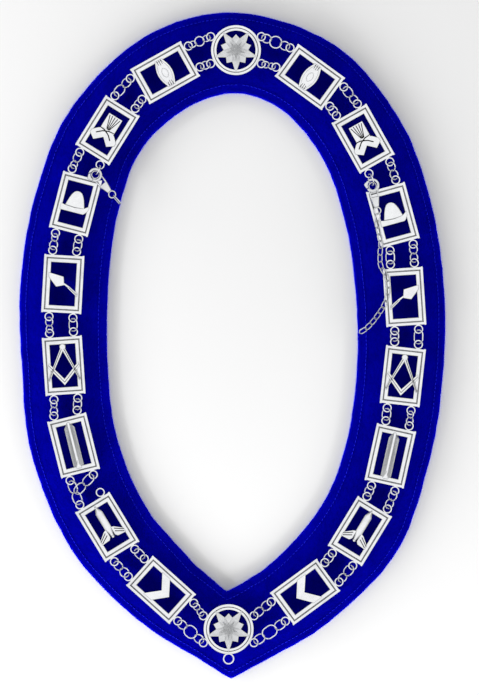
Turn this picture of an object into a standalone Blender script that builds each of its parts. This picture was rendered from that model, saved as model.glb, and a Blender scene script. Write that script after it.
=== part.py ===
"""Masonic chain collar: a velvet band with a silver chain of pierced plaques and star medallions.

The collar lies flat on its back. Z = 0 is the underside of the velvet, +Z faces the viewer,
+Y runs to the top of the neck and the origin is the middle of the band's outline.
"""
import math

import bmesh
import bpy
from mathutils import Matrix, Vector

MM = 0.001

# Driving dimensions of the band and of the chain line that runs along its middle
CHAIN_SPREAD = 260 * MM
CHAIN_DROP = 440 * MM
BAND_WIDTH = 64 * MM
VELVET_THICKNESS = 2.6 * MM
VELVET_ROUNDING = 1.0 * MM
ROUNDED_ANGLE = math.radians(60)
STEPS_PER_STATION = 3
GAP = 0.3 * MM
SMOOTH_ANGLE = math.radians(35)
MERGE_DISTANCE = 0.01 * MM

# Pierced rectangular plaques
PLAQUE_LENGTH = 44.5 * MM
PLAQUE_WIDTH = 30.6 * MM
PLAQUE_THICKNESS = 3.2 * MM
BAR_WIDTH = 5.6 * MM
BAR_STEP_DEPTH = 0.6 * MM
BAR_STEP_SHARE = 0.42
EMBLEM_RISE = 0.5 * MM
EMBLEM_BEVEL = 0.7 * MM
EMBLEM_SINK = 0.6 * MM
KNOB_RISE = 0.4 * MM
TROWEL_PLAQUE = 4

# Cast eyes on the plaques and medallions
EYE_RADIUS = 3.0 * MM
EYE_WIRE = 1.1 * MM
EYE_SEGMENTS = 8
EYE_SIDES = 4
EYE_SPACING = 18.2 * MM
EYE_OVERHANG = 3.0 * MM

# Jump rings
RING_WIRE = 1.0 * MM
RING_SEGMENTS = 10
WIRE_SIDES = 5
RING_ROLL = math.radians(36)
HOOKED_ROLL = math.radians(68)
RING_MAX_RADIUS = 3.9 * MM
FLAT_RING_MAX_RADIUS = 4.4 * MM
END_PITCH = 2.5 * MM
RING_FUSE = 0.25 * MM

# Round medallions with a ten-rayed star
MEDALLION_RADIUS = 19.2 * MM
MEDALLION_RING_WIDTH = 4.4 * MM
MEDALLION_THICKNESS = 2.8 * MM
MEDALLION_ROUNDING = 0.4 * MM
MEDALLION_SEGMENTS = 28
MEDALLION_EYE_ANGLE = math.radians(28)
MEDALLION_EYE_REACH = 2.6 * MM
STAR_LONG = 17.6 * MM
STAR_SHORT = 12.0 * MM
STAR_VALLEY = 9.3 * MM
STAR_HEIGHT = 1.7 * MM
STAR_POINTS = 10
STAR_SOLE = 1.0 * MM
STAR_BRIM = 0.15 * MM
DROP_EYE_RADIUS = 3.8 * MM

# Parrot clasps of the safety chain
CLASP_HEAD_RADIUS = 4.4 * MM
CLASP_ARC_WIDTH = 1.8 * MM
CLASP_THICKNESS = 1.5 * MM
CLASP_LENGTH = 17.0 * MM
CLASP_SHOULDER = 6.2 * MM
CLASP_TAIL = 3.6 * MM
CLASP_BEVEL = 0.25 * MM
SHANK_OVERLAP = 0.2 * MM
SHANK_LOW = 0.1 * MM
SHANK_RISE = 0.4 * MM
SHANK_BEVEL = 0.4 * MM
CLASP_EYE_RADIUS = 2.6 * MM
CLASP_EYE_WIRE = 1.0 * MM
LEVER_PIVOT_ANGLE = math.radians(100)
LEVER_REACH = 5.0 * MM
LEVER_TAB = 1.3 * MM
ARC_STEP = math.radians(20)
FINE_WIRE = 0.9 * MM
LAST_LINK_LENGTH = 8.5 * MM
LAST_LINK_WIDTH = 3.2 * MM
SAFETY_CHAIN_WIDTH = 3.2 * MM

# Heights, from the velvet's top upwards
VELVET_TOP = VELVET_THICKNESS
PLAQUE_BASE = VELVET_TOP + GAP
PLAQUE_TOP = PLAQUE_BASE + PLAQUE_THICKNESS
EYE_HEIGHT = PLAQUE_TOP - EYE_WIRE / 2
RING_FLOOR = VELVET_TOP + GAP + RING_WIRE / 2
CLASP_HEIGHT = PLAQUE_TOP + EMBLEM_RISE + GAP + CLASP_THICKNESS / 2
RING_PITCH = RING_WIRE - RING_FUSE

# Stations round the loop, from the top medallion down the left side and up the right side.
# x and y are shares of half the chain's spread and drop, heading is the way the piece's own
# top points, and out and inn are the band's edges as shares of its width.
STATION_COLUMNS = ("name", "x", "y", "heading", "out", "inn")
STATIONS = [
    ("medallion_top", 0.020, 1.003, 180.0, 0.450, 0.511),
    ("plaque_left_1", -0.394, 0.925, 29.2, 0.495, 0.490),
    ("plaque_left_2", -0.731, 0.726, 58.1, 0.508, 0.462),
    ("plaque_left_3", -0.918, 0.472, 75.5, 0.492, 0.514),
    ("plaque_left_4", -0.992, 0.195, 86.8, 0.506, 0.540),
    ("plaque_left_5", -0.987, -0.087, 93.8, 0.500, 0.525),
    ("plaque_left_6", -0.929, -0.362, 104.1, 0.514, 0.520),
    ("plaque_left_7", -0.732, -0.644, 121.3, 0.508, 0.514),
    ("plaque_left_8", -0.418, -0.861, 138.1, 0.455, 0.502),
    ("band_left", -0.155, -0.964, 174.6, 0.500, 0.500),
    ("medallion_bottom", -0.023, -0.997, 183.0, 0.590, 0.450),
    ("band_right", 0.140, -0.966, 8.9, 0.500, 0.500),
    ("plaque_right_8", 0.424, -0.868, 36.2, 0.460, 0.523),
    ("plaque_right_7", 0.744, -0.658, 58.6, 0.508, 0.543),
    ("plaque_right_6", 0.922, -0.398, 77.5, 0.470, 0.542),
    ("plaque_right_5", 0.995, -0.123, 83.6, 0.478, 0.550),
    ("plaque_right_4", 1.005, 0.151, 93.7, 0.478, 0.575),
    ("plaque_right_3", 0.937, 0.433, 105.2, 0.480, 0.570),
    ("plaque_right_2", 0.763, 0.697, 119.3, 0.495, 0.534),
    ("plaque_right_1", 0.452, 0.910, 144.0, 0.484, 0.511),
]

# Emblem outlines, as shares of half the window's width and length. The symmetric ones give
# only their right half, from top to bottom, and are mirrored.
EYE_ALMOND = [(0, 0.36), (0.6, 0.30), (1.12, 0.19), (1.12, -0.19), (0.6, -0.30), (0, -0.36)]
EYE_BALL = [(0, 0.20), (0.24, 0.14), (0.34, 0), (0.24, -0.14), (0, -0.20)]
BOOK_PLATE = [(0, 0.73), (0.61, 0.73), (0.61, -0.06), (0, -0.06)]
CHEVRON = [(0, 0.05), (1.12, -0.31), (1.12, -0.47), (0.59, -0.69), (0, -0.37)]
DOME = [(0, 0.60), (0.36, 0.52), (0.63, 0.31), (0.76, -0.14), (0, -0.14)]
PLANK = [(-1.12, -0.09), (0.80, -0.09), (1.12, 0.03), (1.12, -0.21), (0.70, -0.41), (-1.12, -0.41)]
TROWEL_BLADE = [(-1.16, 0.52), (0.05, 0.35), (0.13, -0.06), (-0.53, -0.15), (-1.16, 0.30)]
TROWEL_HANDLE = [(0.02, 0.02), (0.12, 0.07), (1.18, -0.42), (1.12, -0.53), (0.02, -0.07)]
COMPASS_LEG = [(0.00, 0.92), (0.16, 0.84), (1.26, -0.62), (1.16, -0.70), (-0.06, 0.76)]
SQUARE_RULE = [(0, -0.62), (1.16, 0.14), (1.24, -0.04), (0, -0.90)]
OBELISK = [(0, 1.06), (0.18, 1.06), (0.41, 0.65), (0.41, -1.06), (0, -1.06)]
WINGED_SHAFT = [(0, 1.10), (0.33, 0.79), (0.33, -0.11), (0.49, -0.12), (1.08, -0.41),
                (1.08, -0.65), (0.37, -0.59), (0.20, -0.47), (0, -0.46)]
TRY_SQUARE = [(0, -0.03), (1.10, 0.50), (1.10, 0.02), (0, -0.50)]

# The cast pieces of each plaque's emblem: how the outline is laid and its lift in millimetres
EMBLEM_COLUMNS = ("plaque", "name", "outline", "laid", "lift")
EMBLEMS = [
    (1, "almond", EYE_ALMOND, "mirrored", 0.0),
    (1, "ball", EYE_BALL, "mirrored", 0.5),
    (2, "chevron", CHEVRON, "mirrored", 0.2),
    (2, "plate", BOOK_PLATE, "mirrored", 0.0),
    (3, "plank", PLANK, "as drawn", 0.0),
    (3, "dome", DOME, "mirrored", 0.2),
    (4, "blade", TROWEL_BLADE, "outwards", 0.0),
    (4, "handle", TROWEL_HANDLE, "outwards", 0.25),
    (5, "square", SQUARE_RULE, "mirrored", 0.0),
    (5, "right leg", COMPASS_LEG, "as drawn", 0.4),
    (5, "left leg", COMPASS_LEG, "turned over", 0.3),
    (6, "obelisk", OBELISK, "mirrored", 0.2),
    (7, "winged shaft", WINGED_SHAFT, "mirrored", 0.0),
    (8, "try square", TRY_SQUARE, "mirrored", 0.0),
]
# Round bosses: plaque, share of the half window's length, and radius
KNOB_COLUMNS = ("plaque", "along", "radius")
KNOBS = [
    (5, 0.84, 2.6 * MM),
    (7, -0.50, 1.3 * MM),
]

# Connectors: name, the two pieces, the eyes that they join there and the share of the whole
# length that each ring takes
CONNECTOR_COLUMNS = ("name", "from_piece", "from_eye", "to_piece", "to_eye", "rings")
CONNECTORS = [
    ("rings_left_0_outer", "medallion_top", "left_outer", "plaque_left_1", "up_outer", (1, 1.2, 1)),
    ("rings_left_0_inner", "medallion_top", "left_inner", "plaque_left_1", "up_inner", (1,)),
    ("rings_left_1_outer", "plaque_left_1", "down_outer", "plaque_left_2", "up_outer", (1, 1.2)),
    ("rings_left_1_inner", "plaque_left_1", "down_inner", "plaque_left_2", "up_inner", (1,)),
    ("rings_left_2_outer", "plaque_left_2", "down_outer", "plaque_left_3", "up_outer", (1.3, 1)),
    ("rings_left_3_outer", "plaque_left_3", "down_outer", "plaque_left_4", "up_outer", (1, 1.2)),
    ("rings_left_3_inner", "plaque_left_3", "down_inner", "plaque_left_4", "up_inner", (1,)),
    ("rings_left_4_outer", "plaque_left_4", "down_outer", "plaque_left_5", "up_outer", (1.2, 1)),
    ("rings_left_4_inner", "plaque_left_4", "down_inner", "plaque_left_5", "up_inner", (1,)),
    ("rings_left_5_outer", "plaque_left_5", "down_outer", "plaque_left_6", "up_outer", (1, 1.1)),
    ("rings_left_5_inner", "plaque_left_5", "down_inner", "plaque_left_6", "up_inner", (1,)),
    ("rings_left_7_outer", "plaque_left_7", "down_outer", "plaque_left_8", "up_outer", (1, 1)),
    ("rings_left_7_inner", "plaque_left_7", "down_inner", "plaque_left_8", "up_inner", (1,)),
    ("rings_left_8_outer", "plaque_left_8", "down_outer", "medallion_bottom", "left_outer", (1, 1.3, 1)),
    ("rings_left_8_inner", "plaque_left_8", "down_inner", "medallion_bottom", "left_inner", (1, 1)),
    ("rings_right_0_outer", "medallion_top", "right_outer", "plaque_right_1", "up_outer", (1, 1.2, 1)),
    ("rings_right_0_inner", "medallion_top", "right_inner", "plaque_right_1", "up_inner", (1, 1)),
    ("rings_right_1_outer", "plaque_right_1", "down_outer", "plaque_right_2", "up_outer", (1.2, 1)),
    ("rings_right_1_inner", "plaque_right_1", "down_inner", "plaque_right_2", "up_inner", (1,)),
    ("rings_right_2_outer", "plaque_right_2", "down_outer", "plaque_right_3", "up_outer", (1, 1.1)),
    ("rings_right_3_outer", "plaque_right_3", "down_outer", "plaque_right_4", "up_outer", (1, 1)),
    ("rings_right_3_inner", "plaque_right_3", "down_inner", "plaque_right_4", "up_inner", (1,)),
    ("rings_right_4_outer", "plaque_right_4", "down_outer", "plaque_right_5", "up_outer", (1,)),
    ("rings_right_4_inner", "plaque_right_4", "down_inner", "plaque_right_5", "up_inner", (1,)),
    ("rings_right_5_outer", "plaque_right_5", "down_outer", "plaque_right_6", "up_outer", (1, 1.2)),
    ("rings_right_5_inner", "plaque_right_5", "down_inner", "plaque_right_6", "up_inner", (1,)),
    ("rings_right_6_outer", "plaque_right_6", "down_outer", "plaque_right_7", "up_outer", (1, 1)),
    ("rings_right_6_inner", "plaque_right_6", "down_inner", "plaque_right_7", "up_inner", (1,)),
    ("rings_right_7_outer", "plaque_right_7", "down_outer", "plaque_right_8", "up_outer", (1.2, 1)),
    ("rings_right_7_inner", "plaque_right_7", "down_inner", "plaque_right_8", "up_inner", (1,)),
    ("rings_right_8_outer", "plaque_right_8", "down_outer", "medallion_bottom", "right_outer", (1, 1.3, 1)),
    ("rings_right_8_inner", "plaque_right_8", "down_inner", "medallion_bottom", "right_inner", (1, 1)),
]
# The joined connector between the sixth and seventh plaques of the left side
JOINED_OUTER = ("rings_left_6", "plaque_left_6", "down_outer", "plaque_left_7", "up_outer", (1, 1))

# Clasps: side, the way the tail points, and the plaques whose inner link each one hooks
CLASP_COLUMNS = ("side", "axis", "upper", "lower")
CLASPS = [
    ("left", -49.0, "plaque_left_2", "plaque_left_3"),
    ("right", -79.0, "plaque_right_2", "plaque_right_3"),
]
# Route of the right safety chain, in millimetres from the tail of its clasp, and its level:
# 1 lies on the plaques and 0 on the velvet
SAFETY_ROUTE = [(1.2, -3.6, 1), (-0.2, -9.0, 1), (1.2, -17.0, 1), (2.6, -25.5, 1),
                (2.0, -33.0, 1), (2.6, -42.0, 1), (7.0, -50.0, 1), (8.2, -58.0, 1),
                (7.2, -66.0, 1), (4.4, -73.0, 1), (0.5, -79.0, 0.5), (-3.6, -84.5, 0),
                (-8.6, -89.5, 0), (-13.5, -92.5, 0), (-20.0, -95.0, 0)]
ROUTE_STEPS = 3

# The finishes: name, colour, metallic value and roughness
FINISHES = {
    "velvet": ((0.002, 0.002, 0.33, 1), 0.0, 0.9),
    "silver": ((0.78, 0.78, 0.8, 1), 1.0, 0.18),
}


def rows(columns, table):
    """Turn a table's tuples into dictionaries keyed by its column names."""
    return [dict(zip(columns, line)) for line in table]


def clear_scene():
    """Remove whatever the open file holds."""
    for item in list(bpy.data.objects):
        bpy.data.objects.remove(item, do_unlink=True)


def make_finish(name):
    """Make the Principled material of one finish."""
    colour, metallic, roughness = FINISHES[name]
    material = bpy.data.materials.new(name)
    material.use_nodes = True
    shader = material.node_tree.nodes["Principled BSDF"]
    shader.inputs["Base Color"].default_value = colour
    shader.inputs["Metallic"].default_value = metallic
    shader.inputs["Roughness"].default_value = roughness
    material.diffuse_color = colour
    return material


def new_collection(name):
    """Make a collection in the scene."""
    collection = bpy.data.collections.new(name)
    bpy.context.scene.collection.children.link(collection)
    return collection


def to_mesh(bm, name):
    """Store a bmesh as a new mesh with its faces pointing out."""
    bmesh.ops.recalc_face_normals(bm, faces=bm.faces)
    mesh = bpy.data.meshes.new(name)
    bm.to_mesh(mesh)
    bm.free()
    return mesh


def add_object(name, mesh, collection, finish, matrix=None):
    """Add one solid to a collection, with its finish and place."""
    mesh.materials.clear()
    mesh.materials.append(finish)
    mesh.shade_smooth()
    mesh.set_sharp_from_angle(angle=SMOOTH_ANGLE)
    item = bpy.data.objects.new(name, mesh)
    if matrix is not None:
        item.matrix_world = matrix
    collection.objects.link(item)
    return item


def join_solids(name, meshes):
    """Unite overlapping solids into one mesh with an exact Boolean."""
    body, *others = meshes
    main = bpy.data.objects.new(name, body)
    bpy.context.scene.collection.objects.link(main)
    operands = new_collection(name + "_operands")
    for mesh in others:
        operands.objects.link(bpy.data.objects.new(mesh.name, mesh))
    if others:
        union = main.modifiers.new("union", "BOOLEAN")
        union.operation = "UNION"
        union.operand_type = "COLLECTION"
        union.collection = operands
        union.solver = "EXACT"
    bpy.context.view_layer.update()
    evaluated = main.evaluated_get(bpy.context.evaluated_depsgraph_get())
    joined = bpy.data.meshes.new_from_object(evaluated)
    for item in list(operands.objects) + [main]:
        bpy.data.objects.remove(item, do_unlink=True)
    bpy.data.collections.remove(operands)
    return joined


def turn(angle):
    """Give the plan direction at an angle."""
    return Vector((math.cos(angle), math.sin(angle), 0))


class Place:
    """A piece's place in plan: its middle and the way its own top points."""

    def __init__(self, middle, heading, outward_turn):
        self.middle = middle
        self.up = turn(heading)
        self.right = turn(heading - math.pi / 2)
        self.out = turn(heading + outward_turn)
        self.heading = heading
        self.outer_is_right = outward_turn < 0

    def point(self, across, along, height=0.0):
        """Give the world point at a distance across and along the piece."""
        return self.middle + self.right * across + self.up * along + Vector((0, 0, height))

    def matrix(self, height):
        """Give the piece's world matrix, standing at a height."""
        spin = Matrix.Rotation(self.heading - math.pi / 2, 4, "Z")
        return Matrix.Translation(self.middle + Vector((0, 0, height))) @ spin


def raw_places():
    """Place every station before the outline is centred."""
    places = {}
    for row in rows(STATION_COLUMNS, STATIONS):
        middle = Vector((row["x"] * CHAIN_SPREAD / 2, row["y"] * CHAIN_DROP / 2, 0))
        left = "left" in row["name"] or row["name"] == "medallion_bottom"
        quarter = math.pi / 2 if left else -math.pi / 2
        places[row["name"]] = Place(middle, math.radians(row["heading"]), quarter)
    return places


def smooth_loop(points, steps):
    """Run a closed Catmull-Rom curve through points, with steps on each stretch."""
    curve = []
    count = len(points)
    for index in range(count):
        before, start, end, after = (points[(index + shift) % count] for shift in (-1, 0, 1, 2))
        for step in range(steps):
            t = step / steps
            curve.append(0.5 * (2 * start + (end - before) * t
                                + (2 * before - 5 * start + 4 * end - after) * t ** 2
                                + (3 * start - before - 3 * end + after) * t ** 3))
    return curve


def smooth_path(points, steps):
    """Run an open Catmull-Rom curve through points, with steps on each stretch."""
    padded = [2 * points[0] - points[1], *points, 2 * points[-1] - points[-2]]
    curve = smooth_loop(padded, steps)
    return curve[steps:steps * (len(padded) - 2) + 1]


def band_edges(places):
    """Give the band's outer and inner edges as smooth loops."""
    edges = {}
    for side, sign in (("out", 1), ("inn", -1)):
        ends = [places[row["name"]].middle + places[row["name"]].out * (sign * row[side] * BAND_WIDTH)
                for row in rows(STATION_COLUMNS, STATIONS)]
        edges[side] = smooth_loop(ends, STEPS_PER_STATION)
    return edges


def centre_places(places):
    """Move every station so that the band's outline is centred on the origin."""
    outline = band_edges(places)["out"]
    middle = Vector([(min(p[axis] for p in outline) + max(p[axis] for p in outline)) / 2
                     for axis in range(3)])
    for place in places.values():
        place.middle = place.middle - middle
    return places


def make_velvet(places, collection, finish):
    """Make the velvet band: a flat strip between its edges, thickened and rounded."""
    bm = bmesh.new()
    edges = []
    for loop in band_edges(places).values():
        corners = [bm.verts.new(point) for point in loop]
        edges += [bm.edges.new((corners[i - 1], corners[i])) for i in range(len(corners))]
    bmesh.ops.bridge_loops(bm, edges=edges)
    bmesh.ops.recalc_face_normals(bm, faces=bm.faces)
    if sum(face.normal.z for face in bm.faces) < 0:
        bmesh.ops.reverse_faces(bm, faces=bm.faces)
    mesh = bpy.data.meshes.new("velvet_collar")
    bm.to_mesh(mesh)
    bm.free()
    velvet = add_object("velvet_collar", mesh, collection, finish)
    shell = velvet.modifiers.new("thickness", "SOLIDIFY")
    shell.thickness = VELVET_THICKNESS
    shell.offset = 1
    rounding = velvet.modifiers.new("rounding", "BEVEL")
    rounding.width = VELVET_ROUNDING
    rounding.segments = 1
    rounding.limit_method = "ANGLE"
    rounding.angle_limit = ROUNDED_ANGLE
    return velvet


def moulding(name, profile, corners):
    """Sweep a moulding's profile round corners: each profile point is an inset and a height."""
    bm = bmesh.new()
    loops = []
    for inset, height in profile:
        loops.append([bm.verts.new(corner(inset, height)) for corner in corners])
    for index, loop in enumerate(loops):
        following = loops[(index + 1) % len(loops)]
        for i in range(len(loop)):
            bm.faces.new((loop[i - 1], loop[i], following[i], following[i - 1]))
    return to_mesh(bm, name)


def frame_corner(x_sign, y_sign):
    """Give a function from a moulding's inset and height to one corner of the plaque."""
    def corner(inset, height):
        return (x_sign * (PLAQUE_WIDTH / 2 - inset), y_sign * (PLAQUE_LENGTH / 2 - inset), height)
    return corner


def frame_mesh():
    """Make the plaque's frame, with a raised outer edge and a stepped inner one."""
    step = BAR_WIDTH * BAR_STEP_SHARE
    low = PLAQUE_THICKNESS - BAR_STEP_DEPTH
    profile = [(0, 0), (0, PLAQUE_THICKNESS), (step, PLAQUE_THICKNESS), (step + BAR_STEP_DEPTH, low),
               (BAR_WIDTH, low), (BAR_WIDTH, 0)]
    signs = ((-1, -1), (1, -1), (1, 1), (-1, 1))
    return moulding("frame", profile, [frame_corner(*pair) for pair in signs])


def cast_mesh(name, outline, low, high, bevel):
    """Make a flat cast form: its outline extruded upwards, with a bevelled top."""
    bm = bmesh.new()
    bottom = bm.faces.new([bm.verts.new((x, y, low)) for x, y in outline])
    raised = bmesh.ops.extrude_face_region(bm, geom=[bottom], use_keep_orig=True)["geom"]
    moved = [item for item in raised if isinstance(item, bmesh.types.BMVert)]
    bmesh.ops.translate(bm, verts=moved, vec=(0, 0, high - bevel - low))
    top = [item for item in raised if isinstance(item, bmesh.types.BMFace)]
    bmesh.ops.recalc_face_normals(bm, faces=bm.faces)
    bmesh.ops.inset_region(bm, faces=top, thickness=bevel, depth=bevel, use_even_offset=True)
    return to_mesh(bm, name)


def mirrored(half):
    """Complete an outline from its right half, whose ends lie on the middle line."""
    return half + [(-x, y) for x, y in reversed(half) if x > 0]


def window_outline(shares, flip=1):
    """Turn an outline's shares of the window into lengths."""
    half_width = PLAQUE_WIDTH / 2 - BAR_WIDTH
    half_length = PLAQUE_LENGTH / 2 - BAR_WIDTH
    return [(flip * x * half_width, y * half_length) for x, y in shares]


def emblem_piece(row, outer):
    """Make one raised piece of an emblem. outer is the sign of the plaque's outer side."""
    flip = {"turned over": -1, "outwards": -outer}.get(row["laid"], 1)
    shares = mirrored(row["outline"]) if row["laid"] == "mirrored" else row["outline"]
    lift = row["lift"] * MM
    top = PLAQUE_THICKNESS - BAR_STEP_DEPTH + EMBLEM_RISE + lift
    return cast_mesh(row["name"], window_outline(shares, flip), EMBLEM_SINK + lift / 2, top, EMBLEM_BEVEL)


def knob(row):
    """Make a small round boss on the window's middle line."""
    (x, y), = window_outline([(0, row["along"])])
    around = [2 * math.pi * (step + 0.5) / EYE_SEGMENTS for step in range(EYE_SEGMENTS)]
    ring = [(x + row["radius"] * math.cos(angle), y + row["radius"] * math.sin(angle)) for angle in around]
    return cast_mesh("knob", ring, EMBLEM_SINK / 2, PLAQUE_THICKNESS + KNOB_RISE, EMBLEM_BEVEL)


def emblem_meshes(number, outer):
    """Make every piece of one plaque's emblem."""
    pieces = [emblem_piece(row, outer) for row in rows(EMBLEM_COLUMNS, EMBLEMS) if row["plaque"] == number]
    return pieces + [knob(row) for row in rows(KNOB_COLUMNS, KNOBS) if row["plaque"] == number]


def torus_mesh(name, radius, wire, segments, matrix, stretch=0.0, sides=WIRE_SIDES):
    """Make a wire ring, or with a stretch an oval link, and put it in its place."""
    bpy.ops.mesh.primitive_torus_add(major_radius=radius, minor_radius=wire / 2,
                                     major_segments=segments, minor_segments=sides)
    item = bpy.context.object
    mesh = item.data
    mesh.name = name
    for vertex in mesh.vertices:
        vertex.co.x += math.copysign(stretch / 2, vertex.co.x)
    mesh.transform(matrix)
    bpy.data.objects.remove(item, do_unlink=True)
    return mesh


def eye_mesh(across, along, height, radius=EYE_RADIUS):
    """Make one flat cast eye."""
    half_step = Matrix.Rotation(math.pi / EYE_SEGMENTS, 4, "Z")
    place = Matrix.Translation((across, along, height)) @ half_step
    return torus_mesh("eye", radius, EYE_WIRE, EYE_SEGMENTS, place, sides=EYE_SIDES)


def plaque_eyes():
    """List the plaque's eyes in its own frame: side, end, across and along."""
    reach = PLAQUE_LENGTH / 2 + EYE_OVERHANG
    return {(side, end): (side * EYE_SPACING / 2, end * reach) for side in (-1, 1) for end in (-1, 1)}


def plaque_mesh(number, outer):
    """Cast one plaque: frame, four eyes and its emblem in one solid."""
    height = PLAQUE_THICKNESS - EYE_WIRE / 2
    eyes = [eye_mesh(x, y, height) for x, y in plaque_eyes().values()]
    return join_solids("plaque", [frame_mesh(), *eyes, *emblem_meshes(number, outer)])


def make_plaques(places, collection, finish):
    """Make the sixteen plaques. Both sides share a casting but for the mirrored trowel."""
    castings = {}
    for name, place in places.items():
        if not name.startswith("plaque"):
            continue
        number = int(name[-1])
        outer = 1 if place.outer_is_right else -1
        key = (number, outer if number == TROWEL_PLAQUE else 0)
        if key not in castings:
            castings[key] = plaque_mesh(number, outer)
        add_object(name, castings[key], collection, finish, place.matrix(PLAQUE_BASE))


def medallion_eyes():
    """Give the medallion's side eyes in its own frame."""
    reach = MEDALLION_RADIUS + MEDALLION_EYE_REACH
    eyes = {}
    for side, middle, sign in (("left", math.pi, -1), ("right", 0, 1)):
        for level, tilt in (("outer", 1), ("inner", -1)):
            eyes[side + "_" + level] = turn(middle + sign * tilt * MEDALLION_EYE_ANGLE) * reach
    return eyes


def ring_profile():
    """Give the medallion ring's turned profile, down its outer side and back up the hole."""
    outer = MEDALLION_RADIUS
    inner = MEDALLION_RADIUS - MEDALLION_RING_WIDTH
    top = MEDALLION_THICKNESS
    return [(inner, top), (outer - MEDALLION_ROUNDING, top), (outer, top - MEDALLION_ROUNDING),
            (outer, 0), (inner, 0)]


def turned_mesh(name, profile, segments):
    """Turn a closed profile round the vertical axis with a Screw modifier."""
    bm = bmesh.new()
    corners = [bm.verts.new((radius, 0, height)) for radius, height in profile]
    for index in range(len(corners)):
        bm.edges.new((corners[index - 1], corners[index]))
    mesh = bpy.data.meshes.new(name)
    bm.to_mesh(mesh)
    bm.free()
    item = bpy.data.objects.new(name, mesh)
    bpy.context.scene.collection.objects.link(item)
    screw = item.modifiers.new("turning", "SCREW")
    screw.steps = segments
    screw.render_steps = segments
    screw.use_merge_vertices = True
    screw.merge_threshold = MERGE_DISTANCE
    bpy.context.view_layer.update()
    turned = bpy.data.meshes.new_from_object(item.evaluated_get(bpy.context.evaluated_depsgraph_get()))
    bpy.data.objects.remove(item, do_unlink=True)
    bm = bmesh.new()
    bm.from_mesh(turned)
    return to_mesh(bm, name)


def star_mesh():
    """Make the ten-rayed star, faceted to a ridge along each ray, with a long ray down."""
    bm = bmesh.new()
    rim = []
    for index in range(2 * STAR_POINTS):
        radius = STAR_VALLEY
        if index % 2 == 0:
            radius = STAR_LONG if index % 4 == 0 else STAR_SHORT
        angle = math.pi * index / STAR_POINTS - math.pi / 2
        rim.append(turn(angle) * radius)
    edge = MEDALLION_THICKNESS + STAR_BRIM
    base = [bm.verts.new(point + Vector((0, 0, STAR_SOLE))) for point in rim]
    brim = [bm.verts.new(point + Vector((0, 0, edge))) for point in rim]
    apex = bm.verts.new((0, 0, edge + STAR_HEIGHT))
    bm.faces.new(base)
    for i in range(len(rim)):
        bm.faces.new((base[i - 1], base[i], brim[i], brim[i - 1]))
        bm.faces.new((brim[i - 1], brim[i], apex))
    return to_mesh(bm, "star")


def make_medallions(places, collection, finish):
    """Make the two medallions: ring, star and eyes in one solid each."""
    height = PLAQUE_THICKNESS - EYE_WIRE / 2
    for name in ("medallion_top", "medallion_bottom"):
        eyes = [eye_mesh(eye.x, eye.y, height) for eye in medallion_eyes().values()]
        if name == "medallion_bottom":
            reach = MEDALLION_RADIUS + DROP_EYE_RADIUS - EYE_WIRE / 2
            eyes.append(eye_mesh(0, -reach, height, DROP_EYE_RADIUS))
        ring = turned_mesh("ring", ring_profile(), MEDALLION_SEGMENTS)
        mesh = join_solids(name, [ring, star_mesh(), *eyes])
        spot = Matrix.Translation(places[name].middle + Vector((0, 0, PLAQUE_BASE)))
        add_object(name, mesh, collection, finish, spot)


def eye_point(places, piece, eye):
    """Find the middle of a named eye in the world, at its own height."""
    place = places[piece]
    if piece.startswith("medallion"):
        if piece == "medallion_bottom":
            eye = eye.replace("outer", "low").replace("inner", "outer").replace("low", "inner")
        return place.middle + medallion_eyes()[eye] + Vector((0, 0, EYE_HEIGHT))
    end = 1 if eye.startswith("up") else -1
    side = 1 if place.outer_is_right == eye.endswith("outer") else -1
    across, along = plaque_eyes()[(side, end)]
    return place.point(across, along, EYE_HEIGHT)


def ring_matrix(middle, direction, roll):
    """Stand a ring at a point, its length along a plan direction and rolled about it."""
    spin = Matrix.Rotation(math.atan2(direction.y, direction.x), 4, "Z")
    return Matrix.Translation(middle) @ spin @ Matrix.Rotation(roll, 4, "X")


def ring_height(radius, roll):
    """Give the height of a ring's middle: clear of the velvet, and no lower than the eyes."""
    return max(EYE_HEIGHT, RING_FLOOR + math.sin(roll) * radius)


def chain_rings(start, end, shares, last_pitch=END_PITCH, tilt=RING_ROLL):
    """Lay rings from one eye to another: each takes its share of the length.

    The rings next to an eye are rolled by the tilt, so that they pass through it, and one
    between two others lies flat. A ring that would be too large is drawn out to an oval link.
    """
    direction = (end - start).normalized()
    reach = (end - start).length - 2 * EYE_RADIUS
    length = reach + END_PITCH + last_pitch + RING_PITCH * (len(shares) - 1)
    travelled = EYE_RADIUS - END_PITCH
    height = ring_height(min(length / len(shares) / 2, RING_MAX_RADIUS), tilt)
    rings = []
    for index, share in enumerate(shares):
        half = length * share / sum(shares) / 2
        flat = 0 < index < len(shares) - 1
        roll = 0 if flat else tilt * (-1 if index and len(shares) == 2 else 1)
        radius = min(half, FLAT_RING_MAX_RADIUS if flat else RING_MAX_RADIUS)
        middle = start + direction * (travelled + half)
        middle.z = height if flat else ring_height(radius, tilt)
        rings.append((middle, direction, radius, roll, 2 * (half - radius)))
        travelled += 2 * half - RING_PITCH
    return rings


def ring_solid(middle, direction, radius, roll, stretch=0.0):
    """Make one jump ring, or with a stretch an oval link."""
    place = ring_matrix(middle, direction, roll)
    return torus_mesh("jump_ring", radius, RING_WIRE, RING_SEGMENTS, place, stretch)


def make_connectors(places, collection, finish):
    """Make the jump rings of every gap, those of one connector fused into one solid."""
    for row in rows(CONNECTOR_COLUMNS, CONNECTORS):
        start = eye_point(places, row["from_piece"], row["from_eye"])
        end = eye_point(places, row["to_piece"], row["to_eye"])
        solids = [ring_solid(*ring) for ring in chain_rings(start, end, row["rings"])]
        add_object(row["name"], join_solids(row["name"], solids), collection, finish)


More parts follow.
